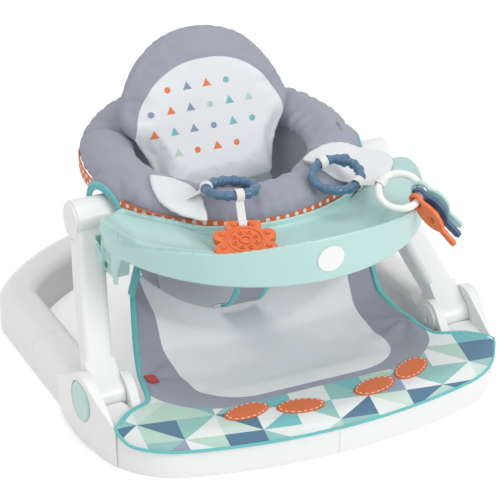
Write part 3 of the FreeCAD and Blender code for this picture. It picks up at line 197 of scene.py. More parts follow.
# Toys and springs
LINK_RIDGES = 14
LINK_RIDGE = 0.95 * MM
PETAL_DOME_REACH = 28.5 * MM
PETAL_DOME_RADIUS = 3.4 * MM
HOOP_POINTS = 48
COIL_TURNS = 3.5
COIL_WIRE = 0.55 * MM

# Sewing and shading
BINDING_HALF = 3.6 * MM
BINDING_THICK = 2.1 * MM
STITCH_PITCH = 6.5 * MM
STITCH_LENGTH = 4.0 * MM
STITCH_WIDTH = 0.9 * MM
SHARP_ANGLE = math.radians(32)

# Light
LAMPS = (
    # name, place, target, size, power
    ("key", (1.2, -2.6, 1.7), (0, -0.1, 0.1), 1.6, 36.0),
    ("left", (-2.2, -1.2, 2.0), (0, 0, 0.2), 1.6, 9.0),
    ("top", (-0.2, 0.2, 3.0), (0, 0, 0.2), 1.6, 14.0),
)


# Colours


def rgb(code):
    """Linear colour of a web colour code."""
    channels = [int(code[i : i + 2], 16) / 255 for i in (0, 2, 4)]
    linear = [c / 12.92 if c <= 0.04045 else ((c + 0.055) / 1.055) ** 2.4 for c in channels]
    return (*linear, 1.0)


GREY = rgb("A6A7B6")
WHITE_CLOTH = rgb("F0F2F5")
# The mat panel's white cloth, painted brighter than WHITE_CLOTH: painted light where the tray shades the mat.
MAT_WHITE_PAINTED_LIGHT = rgb("F8FAFC")
TEAL = rgb("72C8CA")
ORANGE = rgb("E9763F")
MINT = rgb("BADDD8")
WHITE = rgb("F3F3F2")
SLATE = rgb("4E7191")
NAVY = rgb("3F6184")
RED = rgb("C7372E")
PATCHES = ("F3F5F6", "BFDDCF", "7EC4CA", "EDF2F0", "9CCBC6", "5F829C", "D5E6DD", "A0A9BF")


# Mesh helpers


def add_object(name, mesh, material=None):
    obj = bpy.data.objects.new(name, mesh)
    bpy.context.scene.collection.objects.link(obj)
    if material:
        mesh.materials.clear()
        mesh.materials.append(material)
    mesh.polygons.foreach_set("use_smooth", [True] * len(mesh.polygons))
    return obj


def add_mesh(name, points, faces, material):
    mesh = bpy.data.meshes.new(name)
    mesh.from_pydata([tuple(p) for p in points], [], faces)
    mesh.update()
    return add_object(name, mesh, material)


def grid_faces(rows, cols, wrap_rows=False, wrap_cols=False):
    faces = []
    for i in range(rows if wrap_rows else rows - 1):
        for j in range(cols if wrap_cols else cols - 1):
            a = i * cols + j
            b = i * cols + (j + 1) % cols
            c = (i + 1) % rows * cols + (j + 1) % cols
            d = (i + 1) % rows * cols + j
            faces.append((a, b, c, d))
    return faces


def face_outward(obj):
    """Turns every face to the outside of its closed shell."""
    bm = bmesh.new()
    bm.from_mesh(obj.data)
    bmesh.ops.recalc_face_normals(bm, faces=bm.faces)
    bm.to_mesh(obj.data)
    bm.free()


def settle(obj):
    """Replaces an object's mesh by what its modifiers make of it."""
    graph = bpy.context.evaluated_depsgraph_get()
    mesh = bpy.data.meshes.new_from_object(obj.evaluated_get(graph), depsgraph=graph)
    obj.modifiers.clear()
    obj.data = mesh
    mesh.polygons.foreach_set("use_smooth", [True] * len(mesh.polygons))
    return obj


def thicken(obj, thickness, offset=-1.0):
    solid = obj.modifiers.new("cloth thickness", "SOLIDIFY")
    solid.thickness = thickness
    solid.offset = offset
    return settle(obj)


def subdivided(obj, levels=1):
    finer = obj.modifiers.new("finer", "SUBSURF")
    finer.levels = levels
    finer.render_levels = levels
    return settle(obj)


def smoothed(obj, rounds, factor=0.5):
    calm = obj.modifiers.new("calm", "SMOOTH")
    calm.iterations = rounds
    calm.factor = factor
    return settle(obj)


def joined_mesh(name, nodes):
    """One mesh with the faces of some frame nodes."""
    bm = bmesh.new()
    for node in nodes:
        bm.from_mesh(NODES[node].data)
    bmesh.ops.remove_doubles(bm, verts=bm.verts, dist=1e-6)
    mesh = bpy.data.meshes.new(name)
    bm.to_mesh(mesh)
    bm.free()
    return mesh


def node_copy(name, nodes, material):
    """A new object with the joined meshes of some frame nodes."""
    return add_object(name, joined_mesh(name, nodes), material)


def remeshed(obj, voxel):
    skin = obj.modifiers.new("skin", "REMESH")
    skin.mode = "VOXEL"
    skin.voxel_size = voxel
    return settle(obj)


def soft_copy(name, nodes, material, voxel, rounds):
    """A copy of frame nodes with even faces and edges rounded over."""
    obj = remeshed(node_copy(name, nodes, material), voxel)
    return smoothed(obj, rounds)


def coords(obj):
    data = np.empty(len(obj.data.vertices) * 3)
    obj.data.vertices.foreach_get("co", data)
    return data.reshape(-1, 3)


def set_coords(obj, points):
    obj.data.vertices.foreach_set("co", np.asarray(points, float).ravel())
    obj.data.update()


def normals(obj):
    data = np.empty(len(obj.data.vertices) * 3)
    obj.data.vertex_normals.foreach_get("vector", data)
    return data.reshape(-1, 3)


def store(obj, name, values):
    """Keeps one number for each vertex as a named attribute."""
    layer = obj.data.attributes.new(name, "FLOAT", "POINT")
    layer.data.foreach_set("value", np.asarray(values, float))


def store_uv(obj, name, pairs):
    """Keeps a flat place for each vertex as a UV map, in metres."""
    layer = obj.data.uv_layers.new(name=name)
    index = np.empty(len(obj.data.loops), int)
    obj.data.loops.foreach_get("vertex_index", index)
    layer.data.foreach_set("uv", np.asarray(pairs, float)[index].ravel())


def puffed(obj, pressure, shrink, most):
    """Inflates a closed cloth skin a little, no point by more than a set distance."""
    scene = bpy.context.scene
    start = coords(obj)
    cloth = obj.modifiers.new("puff", "CLOTH")
    cloth.settings.quality = 4
    cloth.settings.use_pressure = True
    cloth.settings.uniform_pressure_force = pressure
    cloth.settings.shrink_min = shrink
    cloth.settings.tension_stiffness = 12
    cloth.settings.compression_stiffness = 12
    cloth.settings.bending_stiffness = 0.6
    cloth.settings.effector_weights.gravity = 0.0
    cloth.point_cache.frame_start = 1
    cloth.point_cache.frame_end = 20
    for step in range(1, 21):
        scene.frame_set(step)
    graph = bpy.context.evaluated_depsgraph_get()
    mesh = obj.evaluated_get(graph).to_mesh()
    end = np.empty(len(mesh.vertices) * 3)
    mesh.vertices.foreach_get("co", end)
    move = end.reshape(-1, 3) - start
    obj.evaluated_get(graph).to_mesh_clear()
    obj.modifiers.clear()
    scene.frame_set(1)
    length = np.linalg.norm(move, axis=1, keepdims=True)
    move *= np.minimum(1.0, most / np.maximum(length, 1e-9))
    set_coords(obj, start + move)
    return obj


def sweep(name, path, sides, half_width, half_thick, material, square=2.0, around=16, closed=False):
    """A band along a path: its section spans half_width toward the side vectors and half_thick across."""
    path = [Vector(p) for p in path]
    count = len(path)
    points = []
    flat = []
    run = 0.0
    for i, here in enumerate(path):
        before = path[i - 1] if i or closed else here
        after = path[(i + 1) % count] if i < count - 1 or closed else here
        tangent = (after - before).normalized()
        side = Vector(sides[i])
        side = (side - tangent * side.dot(tangent)).normalized()
        normal = tangent.cross(side)
        if i:
            run += (here - path[i - 1]).length
        for k in range(around):
            angle = 2 * math.pi * k / around
            c = math.copysign(abs(math.cos(angle)) ** (2 / square), math.cos(angle))
            s = math.copysign(abs(math.sin(angle)) ** (2 / square), math.sin(angle))
            points.append(here + side * (half_width * c) + normal * (half_thick * s))
            flat.append((run, half_width * c))
    faces = grid_faces(count, around, wrap_rows=closed, wrap_cols=True)
    if not closed:
        faces.append(tuple(range(around)))
        faces.append(tuple(range((count - 1) * around, count * around)))
    obj = add_mesh(name, points, faces, material)
    face_outward(obj)
    store_uv(obj, "flat", flat)
    return obj


def surface_of(mesh):
    """A search tree over a mesh's faces."""
    return BVHTree.FromPolygons([v.co for v in mesh.vertices], [p.vertices[:] for p in mesh.polygons])


def closeness(points, tree, near, far):
    """1 for points nearer to a surface than near, 0 beyond far."""
    distances = [tree.find_nearest(Vector(p), far)[3] for p in points]
    distances = [far if d is None else d for d in distances]
    return 1 - ease(distances, near, far)


def ease(x, low, high):
    """0 below low, 1 above high and smooth between."""
    t = np.clip((np.asarray(x, float) - low) / (high - low), 0.0, 1.0)
    return t * t * (3 - 2 * t)


def through(stations, column, y):
    """Smooth curve through one column of the stations without overshoot."""
    ys = [s[0] for s in stations]
    vs = [s[column] for s in stations]
    steps = [(v1 - v0) / (y1 - y0) for y0, y1, v0, v1 in zip(ys, ys[1:], vs, vs[1:])]
    slopes = [steps[0]]
    for a, b in zip(steps, steps[1:]):
        slopes.append(0.0 if a * b <= 0 else 2 * a * b / (a + b))
    slopes.append(steps[-1])
    k = min(max(sum(y >= v for v in ys) - 1, 0), len(ys) - 2)
    h = ys[k + 1] - ys[k]
    t = min(max((y - ys[k]) / h, 0.0), 1.0)
    return (
        (1 + 2 * t) * (1 - t) ** 2 * vs[k]
        + t * (1 - t) ** 2 * h * slopes[k]
        + t * t * (3 - 2 * t) * vs[k + 1]
        + t * t * (t - 1) * h * slopes[k + 1]
    )


def tilted(point):
    """The ring's slight tilt about the hub axis."""
    y = point.y - HUB.y
    z = point.z - HUB.z
    c = math.cos(RING_TILT)
    s = math.sin(RING_TILT)
    return Vector((point.x, HUB.y + y * c - z * s, HUB.z + y * s + z * c))


# Shader node groups


def new_group(name, inputs, outputs):
    """An empty shader group; sockets as (name, type, value)."""
    tree = bpy.data.node_groups.new(name, "ShaderNodeTree")
    for label, kind, value in inputs:
        socket = tree.interface.new_socket(label, in_out="INPUT", socket_type=kind)
        if value is not None:
            socket.default_value = value
    for label, kind in outputs:
        tree.interface.new_socket(label, in_out="OUTPUT", socket_type=kind)
    return tree, tree.nodes.new("NodeGroupInput"), tree.nodes.new("NodeGroupOutput")


def maths(tree, operation, first, second=None):
    """A math node on sockets or numbers; returns its output."""
    node = tree.nodes.new("ShaderNodeMath")
    node.operation = operation
    for socket, value in zip(node.inputs, (first, second)):
        if isinstance(value, (int, float)):
            socket.default_value = value
        elif value is not None:
            tree.links.new(value, socket)
    return node.outputs[0]


def mixed(tree, factor, first, second):
    """Colour mix; a colour may be a socket or four numbers."""
    node = tree.nodes.new("ShaderNodeMix")
    node.data_type = "RGBA"
    for socket, value in ((node.inputs["Factor"], factor), (node.inputs[6], first), (node.inputs[7], second)):
        if hasattr(value, "is_output"):
            tree.links.new(value, socket)
        else:
            socket.default_value = value
    return node.outputs[2]


def shaded(tree, colour, shade):
    """A colour socket multiplied by a brightness socket."""
    node = tree.nodes.new("ShaderNodeMix")
    node.data_type = "RGBA"
    node.blend_type = "MULTIPLY"
    node.inputs["Factor"].default_value = 1.0
    tree.links.new(colour, node.inputs[6])
    tree.links.new(shade, node.inputs[7])
    return node.outputs[2]


def steps_of(tree, factor, colours):
    """Picks one of the colours by a number from 0 to 1."""
    ramp = tree.nodes.new("ShaderNodeValToRGB")
    ramp.color_ramp.interpolation = "CONSTANT"
    elements = ramp.color_ramp.elements
    while len(elements) < len(colours):
        elements.new(0.5)
    for k, colour in enumerate(colours):
        elements[k].position = k / len(colours)
        elements[k].color = colour
    tree.links.new(factor, ramp.inputs[0])
    return ramp.outputs[0]


def weave_group():
    """Plain woven cloth: threads crossing, faint mottling, height for the bump."""
    tree, given, result = new_group(
        "woven cloth",
        [("Colour", "NodeSocketColor", (0.5, 0.5, 0.5, 1)), ("Threads per metre", "NodeSocketFloat", 900.0)],
        [("Colour", "NodeSocketColor"), ("Height", "NodeSocketFloat"), ("Roughness", "NodeSocketFloat")],
    )
    links = tree.links
    place = tree.nodes.new("ShaderNodeTexCoord")
    split = tree.nodes.new("ShaderNodeSeparateXYZ")
    links.new(place.outputs["Object"], split.inputs[0])
    scale = maths(tree, "MULTIPLY", given.outputs["Threads per metre"], 2 * math.pi)
    across = maths(tree, "ADD", split.outputs[0], maths(tree, "MULTIPLY", split.outputs[2], 0.35))
    along = maths(tree, "ADD", split.outputs[1], maths(tree, "MULTIPLY", split.outputs[2], 0.94))
    warp = maths(tree, "SINE", maths(tree, "MULTIPLY", across, scale))
    weft = maths(tree, "SINE", maths(tree, "MULTIPLY", along, scale))
    thread = maths(tree, "MULTIPLY", warp, weft)
    cloud = tree.nodes.new("ShaderNodeTexNoise")
    cloud.inputs["Scale"].default_value = 26.0
    cloud.inputs["Detail"].default_value = 4.0
    links.new(place.outputs["Object"], cloud.inputs["Vector"])
    shade = maths(tree, "ADD", maths(tree, "MULTIPLY", cloud.outputs[0], 0.10), 0.93)
    shade = maths(tree, "ADD", shade, maths(tree, "MULTIPLY", thread, 0.03))
    links.new(shaded(tree, given.outputs["Colour"], shade), result.inputs["Colour"])
    height = maths(tree, "ADD", thread, maths(tree, "MULTIPLY", cloud.outputs[0], 1.2))
    links.new(height, result.inputs["Height"])
    rough = maths(tree, "ADD", maths(tree, "MULTIPLY", cloud.outputs[0], 0.12), 0.76)
    links.new(rough, result.inputs["Roughness"])
    return tree


def moulding_group():
    """Injection-moulded skin: fine grain, slow unevenness and a slightly varying gloss."""
    tree, given, result = new_group(
        "moulded skin",
        [("Colour", "NodeSocketColor", (0.8, 0.8, 0.8, 1)), ("Gloss", "NodeSocketFloat", 0.35)],
        [("Colour", "NodeSocketColor"), ("Height", "NodeSocketFloat"), ("Roughness", "NodeSocketFloat")],
    )
    links = tree.links
    place = tree.nodes.new("ShaderNodeTexCoord")
    grain = tree.nodes.new("ShaderNodeTexNoise")
    grain.inputs["Scale"].default_value = 900.0
    grain.inputs["Detail"].default_value = 2.0
    slow = tree.nodes.new("ShaderNodeTexNoise")
    slow.inputs["Scale"].default_value = 14.0
    slow.inputs["Detail"].default_value = 3.0
    for noise in (grain, slow):
        links.new(place.outputs["Object"], noise.inputs["Vector"])
    shade = maths(tree, "ADD", maths(tree, "MULTIPLY", slow.outputs[0], 0.05), 0.965)
    links.new(shaded(tree, given.outputs["Colour"], shade), result.inputs["Colour"])
    links.new(grain.outputs[0], result.inputs["Height"])
    uneven = maths(tree, "MULTIPLY", maths(tree, "SUBTRACT", slow.outputs[0], 0.5), 0.14)
    links.new(maths(tree, "ADD", given.outputs["Gloss"], uneven), result.inputs["Roughness"])
    return tree


def flat_place(tree, given, cell):
    """Whole and fractional part of a flat place divided into square cells."""
    split = tree.nodes.new("ShaderNodeSeparateXYZ")
    tree.links.new(given.outputs["Place"], split.inputs[0])
    whole = []
    part = []
    for axis in (0, 1):
        count = maths(tree, "DIVIDE", split.outputs[axis], cell)
        whole.append(maths(tree, "FLOOR", count))
        part.append(maths(tree, "SUBTRACT", maths(tree, "FRACT", count), 0.5))
    return whole, part


def chance(tree, x, y, z):
    """A fixed random number for a cell."""
    joined = tree.nodes.new("ShaderNodeCombineXYZ")
    for socket, value in zip(joined.inputs, (x, y, z)):
        if isinstance(value, (int, float)):
            socket.default_value = value
        else:
            tree.links.new(value, socket)
    noise = tree.nodes.new("ShaderNodeTexWhiteNoise")
    tree.links.new(joined.outputs[0], noise.inputs["Vector"])
    return noise.outputs["Value"]


def patchwork_group():
    """Square cells of eight triangles that meet in the middle, each triangle in one of a few colours."""
    tree, given, result = new_group(
        "triangle patchwork",
        [("Place", "NodeSocketVector", None), ("Cell", "NodeSocketFloat", 0.09)],
        [("Colour", "NodeSocketColor")],
    )
    whole, part = flat_place(tree, given, given.outputs["Cell"])
    angle = maths(tree, "ARCTAN2", part[1], part[0])
    wedge = maths(tree, "FLOOR", maths(tree, "DIVIDE", maths(tree, "ADD", angle, math.pi), math.pi / 4))
    pick = chance(tree, whole[0], whole[1], wedge)
    tree.links.new(steps_of(tree, pick, [rgb(code) for code in PATCHES]), result.inputs["Colour"])
    return tree


def motif_group():
    """Whole small dots and triangles in rows within an oval, with their colour."""
    tree, given, result = new_group(
        "dots and triangles",
        [
            ("Place", "NodeSocketVector", None),
            ("Cell", "NodeSocketFloat", 0.026),
            ("Half width", "NodeSocketFloat", 0.080),
            ("Half height", "NodeSocketFloat", 0.058),
        ],
        [("Mask", "NodeSocketFloat"), ("Colour", "NodeSocketColor")],
    )
    whole, part = flat_place(tree, given, given.outputs["Cell"])
    pick = chance(tree, whole[0], whole[1], 3.0)
    kind = maths(tree, "GREATER_THAN", chance(tree, whole[0], whole[1], 7.0), 0.5)
    square = maths(tree, "ADD", maths(tree, "POWER", part[0], 2.0), maths(tree, "POWER", part[1], 2.0))
    dot = maths(tree, "LESS_THAN", square, 0.0225)
    wide = maths(tree, "MULTIPLY", maths(tree, "ABSOLUTE", part[0]), 0.866)
    slant = maths(tree, "ADD", wide, maths(tree, "MULTIPLY", part[1], 0.5))
    side = maths(tree, "MAXIMUM", slant, maths(tree, "MULTIPLY", part[1], -1.0))
    triangle = maths(tree, "LESS_THAN", side, 0.13)
    round_ones = maths(tree, "MULTIPLY", dot, maths(tree, "SUBTRACT", 1.0, kind))
    shown = maths(tree, "ADD", round_ones, maths(tree, "MULTIPLY", triangle, kind))
    inside = []
    for axis, label in ((0, "Half width"), (1, "Half height")):
        centre = maths(tree, "MULTIPLY", maths(tree, "ADD", whole[axis], 0.5), given.outputs["Cell"])
        inside.append(maths(tree, "POWER", maths(tree, "DIVIDE", centre, given.outputs[label]), 2.0))
    oval = maths(tree, "LESS_THAN", maths(tree, "ADD", inside[0], inside[1]), 1.0)
    tree.links.new(maths(tree, "MULTIPLY", shown, oval), result.inputs["Mask"])
    colours = [rgb(code) for code in ("7EC4CA", "EE8A58", "BFDDCF", "8FA3BC")]
    tree.links.new(steps_of(tree, pick, colours), result.inputs["Colour"])
    return tree


def spots_group():
    """Round spots in two staggered rows."""
    tree, given, result = new_group(
        "staggered spots",
        [
            ("Place", "NodeSocketVector", None),
            ("Pitch", "NodeSocketFloat", 0.0125),
            ("Radius", "NodeSocketFloat", 0.0026),
        ],
        [("Mask", "NodeSocketFloat")],
    )
    split = tree.nodes.new("ShaderNodeSeparateXYZ")
    tree.links.new(given.outputs["Place"], split.inputs[0])
    pitch = given.outputs["Pitch"]
    row = maths(tree, "GREATER_THAN", split.outputs[1], 0.0)
    shift = maths(tree, "MULTIPLY", row, 0.5)
    run = maths(tree, "ADD", maths(tree, "DIVIDE", split.outputs[0], pitch), shift)
    along = maths(tree, "MULTIPLY", maths(tree, "SUBTRACT", maths(tree, "FRACT", run), 0.5), pitch)
    across = maths(tree, "SUBTRACT", maths(tree, "ABSOLUTE", split.outputs[1]), 0.0035)
    square = maths(tree, "ADD", maths(tree, "POWER", along, 2.0), maths(tree, "POWER", across, 2.0))
    limit = maths(tree, "POWER", given.outputs["Radius"], 2.0)
    tree.links.new(maths(tree, "LESS_THAN", square, limit), result.inputs["Mask"])
    return tree


WEAVE = weave_group()
MOULDING = moulding_group()
PATCHWORK = patchwork_group()
MOTIFS = motif_group()
SPOTS = spots_group()


# Materials


def base_material(name, group, bump_strength, bump_distance):
    """A material whose colour, roughness and bump come from a surface group."""
    material = bpy.data.materials.new(name)
    material.use_nodes = True
    tree = material.node_tree
    shader = tree.nodes["Principled BSDF"]
    surface = tree.nodes.new("ShaderNodeGroup")
    surface.node_tree = group
    bump = tree.nodes.new("ShaderNodeBump")
    bump.inputs["Strength"].default_value = bump_strength
    bump.inputs["Distance"].default_value = bump_distance
    tree.links.new(surface.outputs["Colour"], shader.inputs["Base Color"])
    tree.links.new(surface.outputs["Roughness"], shader.inputs["Roughness"])
    tree.links.new(surface.outputs["Height"], bump.inputs["Height"])
    tree.links.new(bump.outputs["Normal"], shader.inputs["Normal"])
    return material, tree, shader, surface


def woven_material(name, sheen):
    """Woven cloth with a soft sheen; its colour is set on the surface group."""
    material, tree, shader, surface = base_material(name, WEAVE, 0.35, 0.0004)
    shader.inputs["Sheen Weight"].default_value = sheen
    shader.inputs["Sheen Roughness"].default_value = 0.5
    shader.inputs["Specular IOR Level"].default_value = 0.25
    return material, tree, surface


def cloth(name, colour, threads=900.0, sheen=0.2):
    material, _, surface = woven_material(name, sheen)
    surface.inputs["Colour"].default_value = colour
    surface.inputs["Threads per metre"].default_value = threads
    return material


def plastic(name, colour, gloss, coat=0.0):
    material, _, shader, surface = base_material(name, MOULDING, 0.08, 0.0002)
    surface.inputs["Colour"].default_value = colour
    surface.inputs["Gloss"].default_value = gloss
    shader.inputs["Coat Weight"].default_value = coat
    shader.inputs["Coat Roughness"].default_value = 0.2
    return material


def uv_place(tree, name):
    node = tree.nodes.new("ShaderNodeUVMap")
    node.uv_map = name
    return node.outputs[0]


def placed_group(tree, group, place):
    node = tree.nodes.new("ShaderNodeGroup")
    node.node_tree = group
    tree.links.new(place, node.inputs["Place"])
    return node


def below_zero(tree, attribute):
    """1 where a stored distance is negative, which is inside an outline."""
    node = tree.nodes.new("ShaderNodeAttribute")
    node.attribute_name = attribute
    return maths(tree, "LESS_THAN", node.outputs["Fac"], 0.0)


def mat_material():
    """Printed cloth: white panel on a grey field, triangle patchwork round it; the panel's white is painted
    brighter, as painted light under the tray.
    """
    material, tree, surface = woven_material("mat print", 0.15)
    patch = placed_group(tree, PATCHWORK, uv_place(tree, "flat"))
    patch.inputs["Cell"].default_value = 0.092
    print_and_painted_light = mixed(tree, below_zero(tree, "field"), patch.outputs[0], GREY)
    # The panel's white is painted brighter than the other white cloth: painted light under the tray.
    print_and_painted_light = mixed(tree, below_zero(tree, "panel"), print_and_painted_light, MAT_WHITE_PAINTED_LIGHT)
    tree.links.new(print_and_painted_light, surface.inputs["Colour"])
    return material


def pad_material():
    """Grey cloth with a white arched panel that carries small dots and triangles."""
    material, tree, surface = woven_material("pad print", 0.2)
    motif = placed_group(tree, MOTIFS, uv_place(tree, "flat"))
    panel = below_zero(tree, "panel")
    white = mixed(tree, motif.outputs["Mask"], WHITE_CLOTH, motif.outputs["Colour"])
    tree.links.new(mixed(tree, panel, GREY, white), surface.inputs["Colour"])
    return material


def sling_material():
    """Grey cloth with a white seat panel low inside."""
    material, tree, surface = woven_material("seat cloth", 0.2)
    tree.links.new(mixed(tree, below_zero(tree, "panel"), GREY, WHITE_CLOTH), surface.inputs["Colour"])
    return material


def trim_material():
    """Orange band with white spots."""
    material, tree, shader, surface = base_material("spotted band", WEAVE, 0.3, 0.0003)
    spots = placed_group(tree, SPOTS, uv_place(tree, "flat"))
    tree.links.new(mixed(tree, spots.outputs["Mask"], ORANGE, WHITE_CLOTH), surface.inputs["Colour"])
    shader.inputs["Sheen Weight"].default_value = 0.15
    return material


def steel_material():
    material, _, shader, surface = base_material("steel", MOULDING, 0.05, 0.0002)
    surface.inputs["Colour"].default_value = (0.62, 0.62, 0.64, 1.0)
    surface.inputs["Gloss"].default_value = 0.32
    shader.inputs["Metallic"].default_value = 1.0
    return material


GREY_CLOTH_M = cloth("grey cloth", GREY)
WHITE_CLOTH_M = cloth("white cloth", WHITE_CLOTH)
TAPE_M = cloth("white tape", rgb("F0F0EE"), threads=620.0)
TEAL_M = cloth("teal binding", TEAL, threads=700.0, sheen=0.3)
ORANGE_CLOTH_M = cloth("orange cloth", ORANGE)
TAG_M = cloth("red label", RED, threads=1100.0)
THREAD_M = cloth("white thread", rgb("F6F6F4"), threads=1500.0)
TEAL_THREAD_M = cloth("teal thread", rgb("58ADB4"), threads=1500.0)
ORANGE_THREAD_M = cloth("orange thread", rgb("D9642F"), threads=1500.0)
MAT_M = mat_material()
PAD_M = pad_material()
SLING_M = sling_material()
TRIM_M = trim_material()
WHITE_M = plastic("white plastic", WHITE, 0.32, coat=0.15)
MINT_M = plastic("mint plastic", MINT, 0.33, coat=0.2)
SLATE_M = plastic("slate plastic", SLATE, 0.27, coat=0.3)
NAVY_M = plastic("navy plastic", NAVY, 0.27, coat=0.3)
ORANGE_M = plastic("orange soft plastic", ORANGE, 0.42)
BOARD_M = plastic("board", rgb("C9C9C6"), 0.6)
STEEL_M = steel_material()


# Geometry nodes: soft shading of mouldings, stitches and domes


def node_modifier(obj, tree, values):
    """Adds a node tree to an object with its named inputs set."""
    modifier = obj.modifiers.new(tree.name, "NODES")
    modifier.node_group = tree
    for item in tree.interface.items_tree:
        if item.item_type == "SOCKET" and item.in_out == "INPUT" and item.name in values:
            modifier[item.identifier] = values[item.name]
    return modifier


def geometry_tree(name, inputs):
    tree = bpy.data.node_groups.new(name, "GeometryNodeTree")
    tree.interface.new_socket("Geometry", in_out="INPUT", socket_type="NodeSocketGeometry")
    for label, kind, value in inputs:
        socket = tree.interface.new_socket(label, in_out="INPUT", socket_type=kind)
        if value is not None:
            socket.default_value = value
    tree.interface.new_socket("Geometry", in_out="OUTPUT", socket_type="NodeSocketGeometry")
    return tree, tree.nodes.new("NodeGroupInput"), tree.nodes.new("NodeGroupOutput")


def shading_tree():
    """Joins a moulding's loose triangles and shades it smooth but for its sharp edges."""
    tree, given, result = geometry_tree("moulded shading", [("Sharp angle", "NodeSocketFloat", SHARP_ANGLE)])
    links = tree.links
    join = tree.nodes.new("GeometryNodeMergeByDistance")
    join.inputs["Distance"].default_value = 1e-5
    all_smooth = tree.nodes.new("GeometryNodeSetShadeSmooth")
    sharp = tree.nodes.new("GeometryNodeSetShadeSmooth")
    sharp.domain = "EDGE"
    sharp.inputs["Shade Smooth"].default_value = False
    angle = tree.nodes.new("GeometryNodeInputMeshEdgeAngle")
    over = tree.nodes.new("FunctionNodeCompare")
    over.operation = "GREATER_THAN"
    links.new(angle.outputs["Unsigned Angle"], over.inputs[0])
    links.new(given.outputs["Sharp angle"], over.inputs[1])
    links.new(over.outputs[0], sharp.inputs["Selection"])
    links.new(given.outputs["Geometry"], join.inputs["Geometry"])
    links.new(join.outputs["Geometry"], all_smooth.inputs["Geometry"])
    links.new(all_smooth.outputs["Geometry"], sharp.inputs["Geometry"])
    links.new(sharp.outputs["Geometry"], result.inputs["Geometry"])
    return tree


def stitch_tree():
    """Short thread lengths along every line of the mesh."""
    tree, given, result = geometry_tree(
        "stitches",
        [
            ("Pitch", "NodeSocketFloat", STITCH_PITCH),
            ("Length", "NodeSocketFloat", STITCH_LENGTH),
            ("Width", "NodeSocketFloat", STITCH_WIDTH),
            ("Thread", "NodeSocketMaterial", None),
        ],
    )
    nodes = tree.nodes
    links = tree.links
    curve = nodes.new("GeometryNodeMeshToCurve")
    spaced = nodes.new("GeometryNodeResampleCurve")
    spaced.mode = "LENGTH"
    bead = nodes.new("GeometryNodeMeshUVSphere")
    bead.inputs["Segments"].default_value = 8
    bead.inputs["Rings"].default_value = 6
    bead.inputs["Radius"].default_value = 0.5
    shape = nodes.new("ShaderNodeCombineXYZ")
    tangent = nodes.new("GeometryNodeInputTangent")
    turn = nodes.new("FunctionNodeAlignRotationToVector")
    turn.axis = "Z"
    place = nodes.new("GeometryNodeInstanceOnPoints")
    real = nodes.new("GeometryNodeRealizeInstances")
    paint = nodes.new("GeometryNodeSetMaterial")
    links.new(given.outputs["Geometry"], curve.inputs["Mesh"])
    links.new(curve.outputs["Curve"], spaced.inputs["Curve"])
    links.new(given.outputs["Pitch"], spaced.inputs["Length"])
    links.new(given.outputs["Width"], shape.inputs[0])
    links.new(given.outputs["Width"], shape.inputs[1])
    links.new(given.outputs["Length"], shape.inputs[2])
    links.new(tangent.outputs[0], turn.inputs["Vector"])
    links.new(spaced.outputs["Curve"], place.inputs["Points"])
    links.new(bead.outputs["Mesh"], place.inputs["Instance"])
    links.new(turn.outputs[0], place.inputs["Rotation"])
    links.new(shape.outputs[0], place.inputs["Scale"])
    links.new(place.outputs["Instances"], real.inputs["Geometry"])
    links.new(real.outputs["Geometry"], paint.inputs["Geometry"])
    links.new(given.outputs["Thread"], paint.inputs["Material"])
    links.new(paint.outputs["Geometry"], result.inputs["Geometry"])
    return tree


SHADING = shading_tree()
STITCHES = stitch_tree()


def stitched(name, lines, material, pitch=STITCH_PITCH, length=STITCH_LENGTH, width=STITCH_WIDTH):
    """One object with stitches along polylines."""
    points = []
    edges = []
    for line in lines:
        start = len(points)
        points += [tuple(p) for p in line]
        edges += [(i, i + 1) for i in range(start, len(points) - 1)]
    mesh = bpy.data.meshes.new(name)
    mesh.from_pydata(points, edges, [])
    obj = add_object(name, mesh)
    node_modifier(obj, STITCHES, {"Pitch": pitch, "Length": length, "Width": width, "Thread": material})
    return settle(obj)


def finished(obj, body, slot, *nodes):
    """Ties a piece to its body; nodes are the frame solids it stands for, which it hides; slot is not used.
    """
    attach(obj, body)
    if nodes:
        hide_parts(*nodes)
    return obj


# Seat ring and head pad


def bolster():
    """Padded ring: puffed cloth skin, gathers at the inner side and a few radial seams."""
    obj = remeshed(node_copy("bolster_cover", ["seat_bolster"], GREY_CLOTH_M), 4.5 * MM)
    obj = smoothed(obj, 6)
    resting = coords(obj)
    flap_tree = surface_of(joined_mesh("flaps", ["flap_left", "flap_right"]))
    held = closeness(resting, flap_tree, 5 * MM, 20 * MM)[:, None]
    puffed(obj, 4.0, -0.03, 5 * MM)
    set_coords(obj, coords(obj) * (1 - held) + resting * held)
    obj = subdivided(obj)
    points = coords(obj)
    outward = normals(obj)
    free = 1 - closeness(points, flap_tree, 4 * MM, 16 * MM)
    dx = points[:, 0]
    dy = points[:, 1] - RING_CENTRE.y
    radius = np.hypot(dx, dy)
    angle = np.arctan2(dy, dx)
    inner = 1 - ease(radius, RING_RADIUS - 66 * MM, RING_RADIUS - 30 * MM)
    outer = ease(radius, RING_RADIUS - 26 * MM, RING_RADIUS)
    gather = np.sin(34 * angle + 2.1 * np.sin(3 * angle)) * (0.6 + 0.4 * np.sin(5 * angle + 1.0))
    pucker = np.sin(58 * angle + 1.7 * np.sin(4 * angle))
    lift = 1.5 * MM * inner * gather + 0.7 * MM * outer * pucker
    for degrees in RADIAL_SEAMS:
        away = np.abs(np.angle(np.exp(1j * (angle - math.radians(degrees))))) * radius
        lift -= 3.4 * MM * np.exp(-((away / (3.2 * MM)) ** 2))
        lift += 1.3 * MM * np.exp(-(((away - 9 * MM) / (6 * MM)) ** 2))
    top = ease(points[:, 2], BOLSTER_LOW.z + 4 * MM, BOLSTER_LOW.z + 14 * MM)
    set_coords(obj, points + outward * (lift * top * free)[:, None])
    finished(obj, "seat", "grey_fabric", "seat_bolster")
    return obj


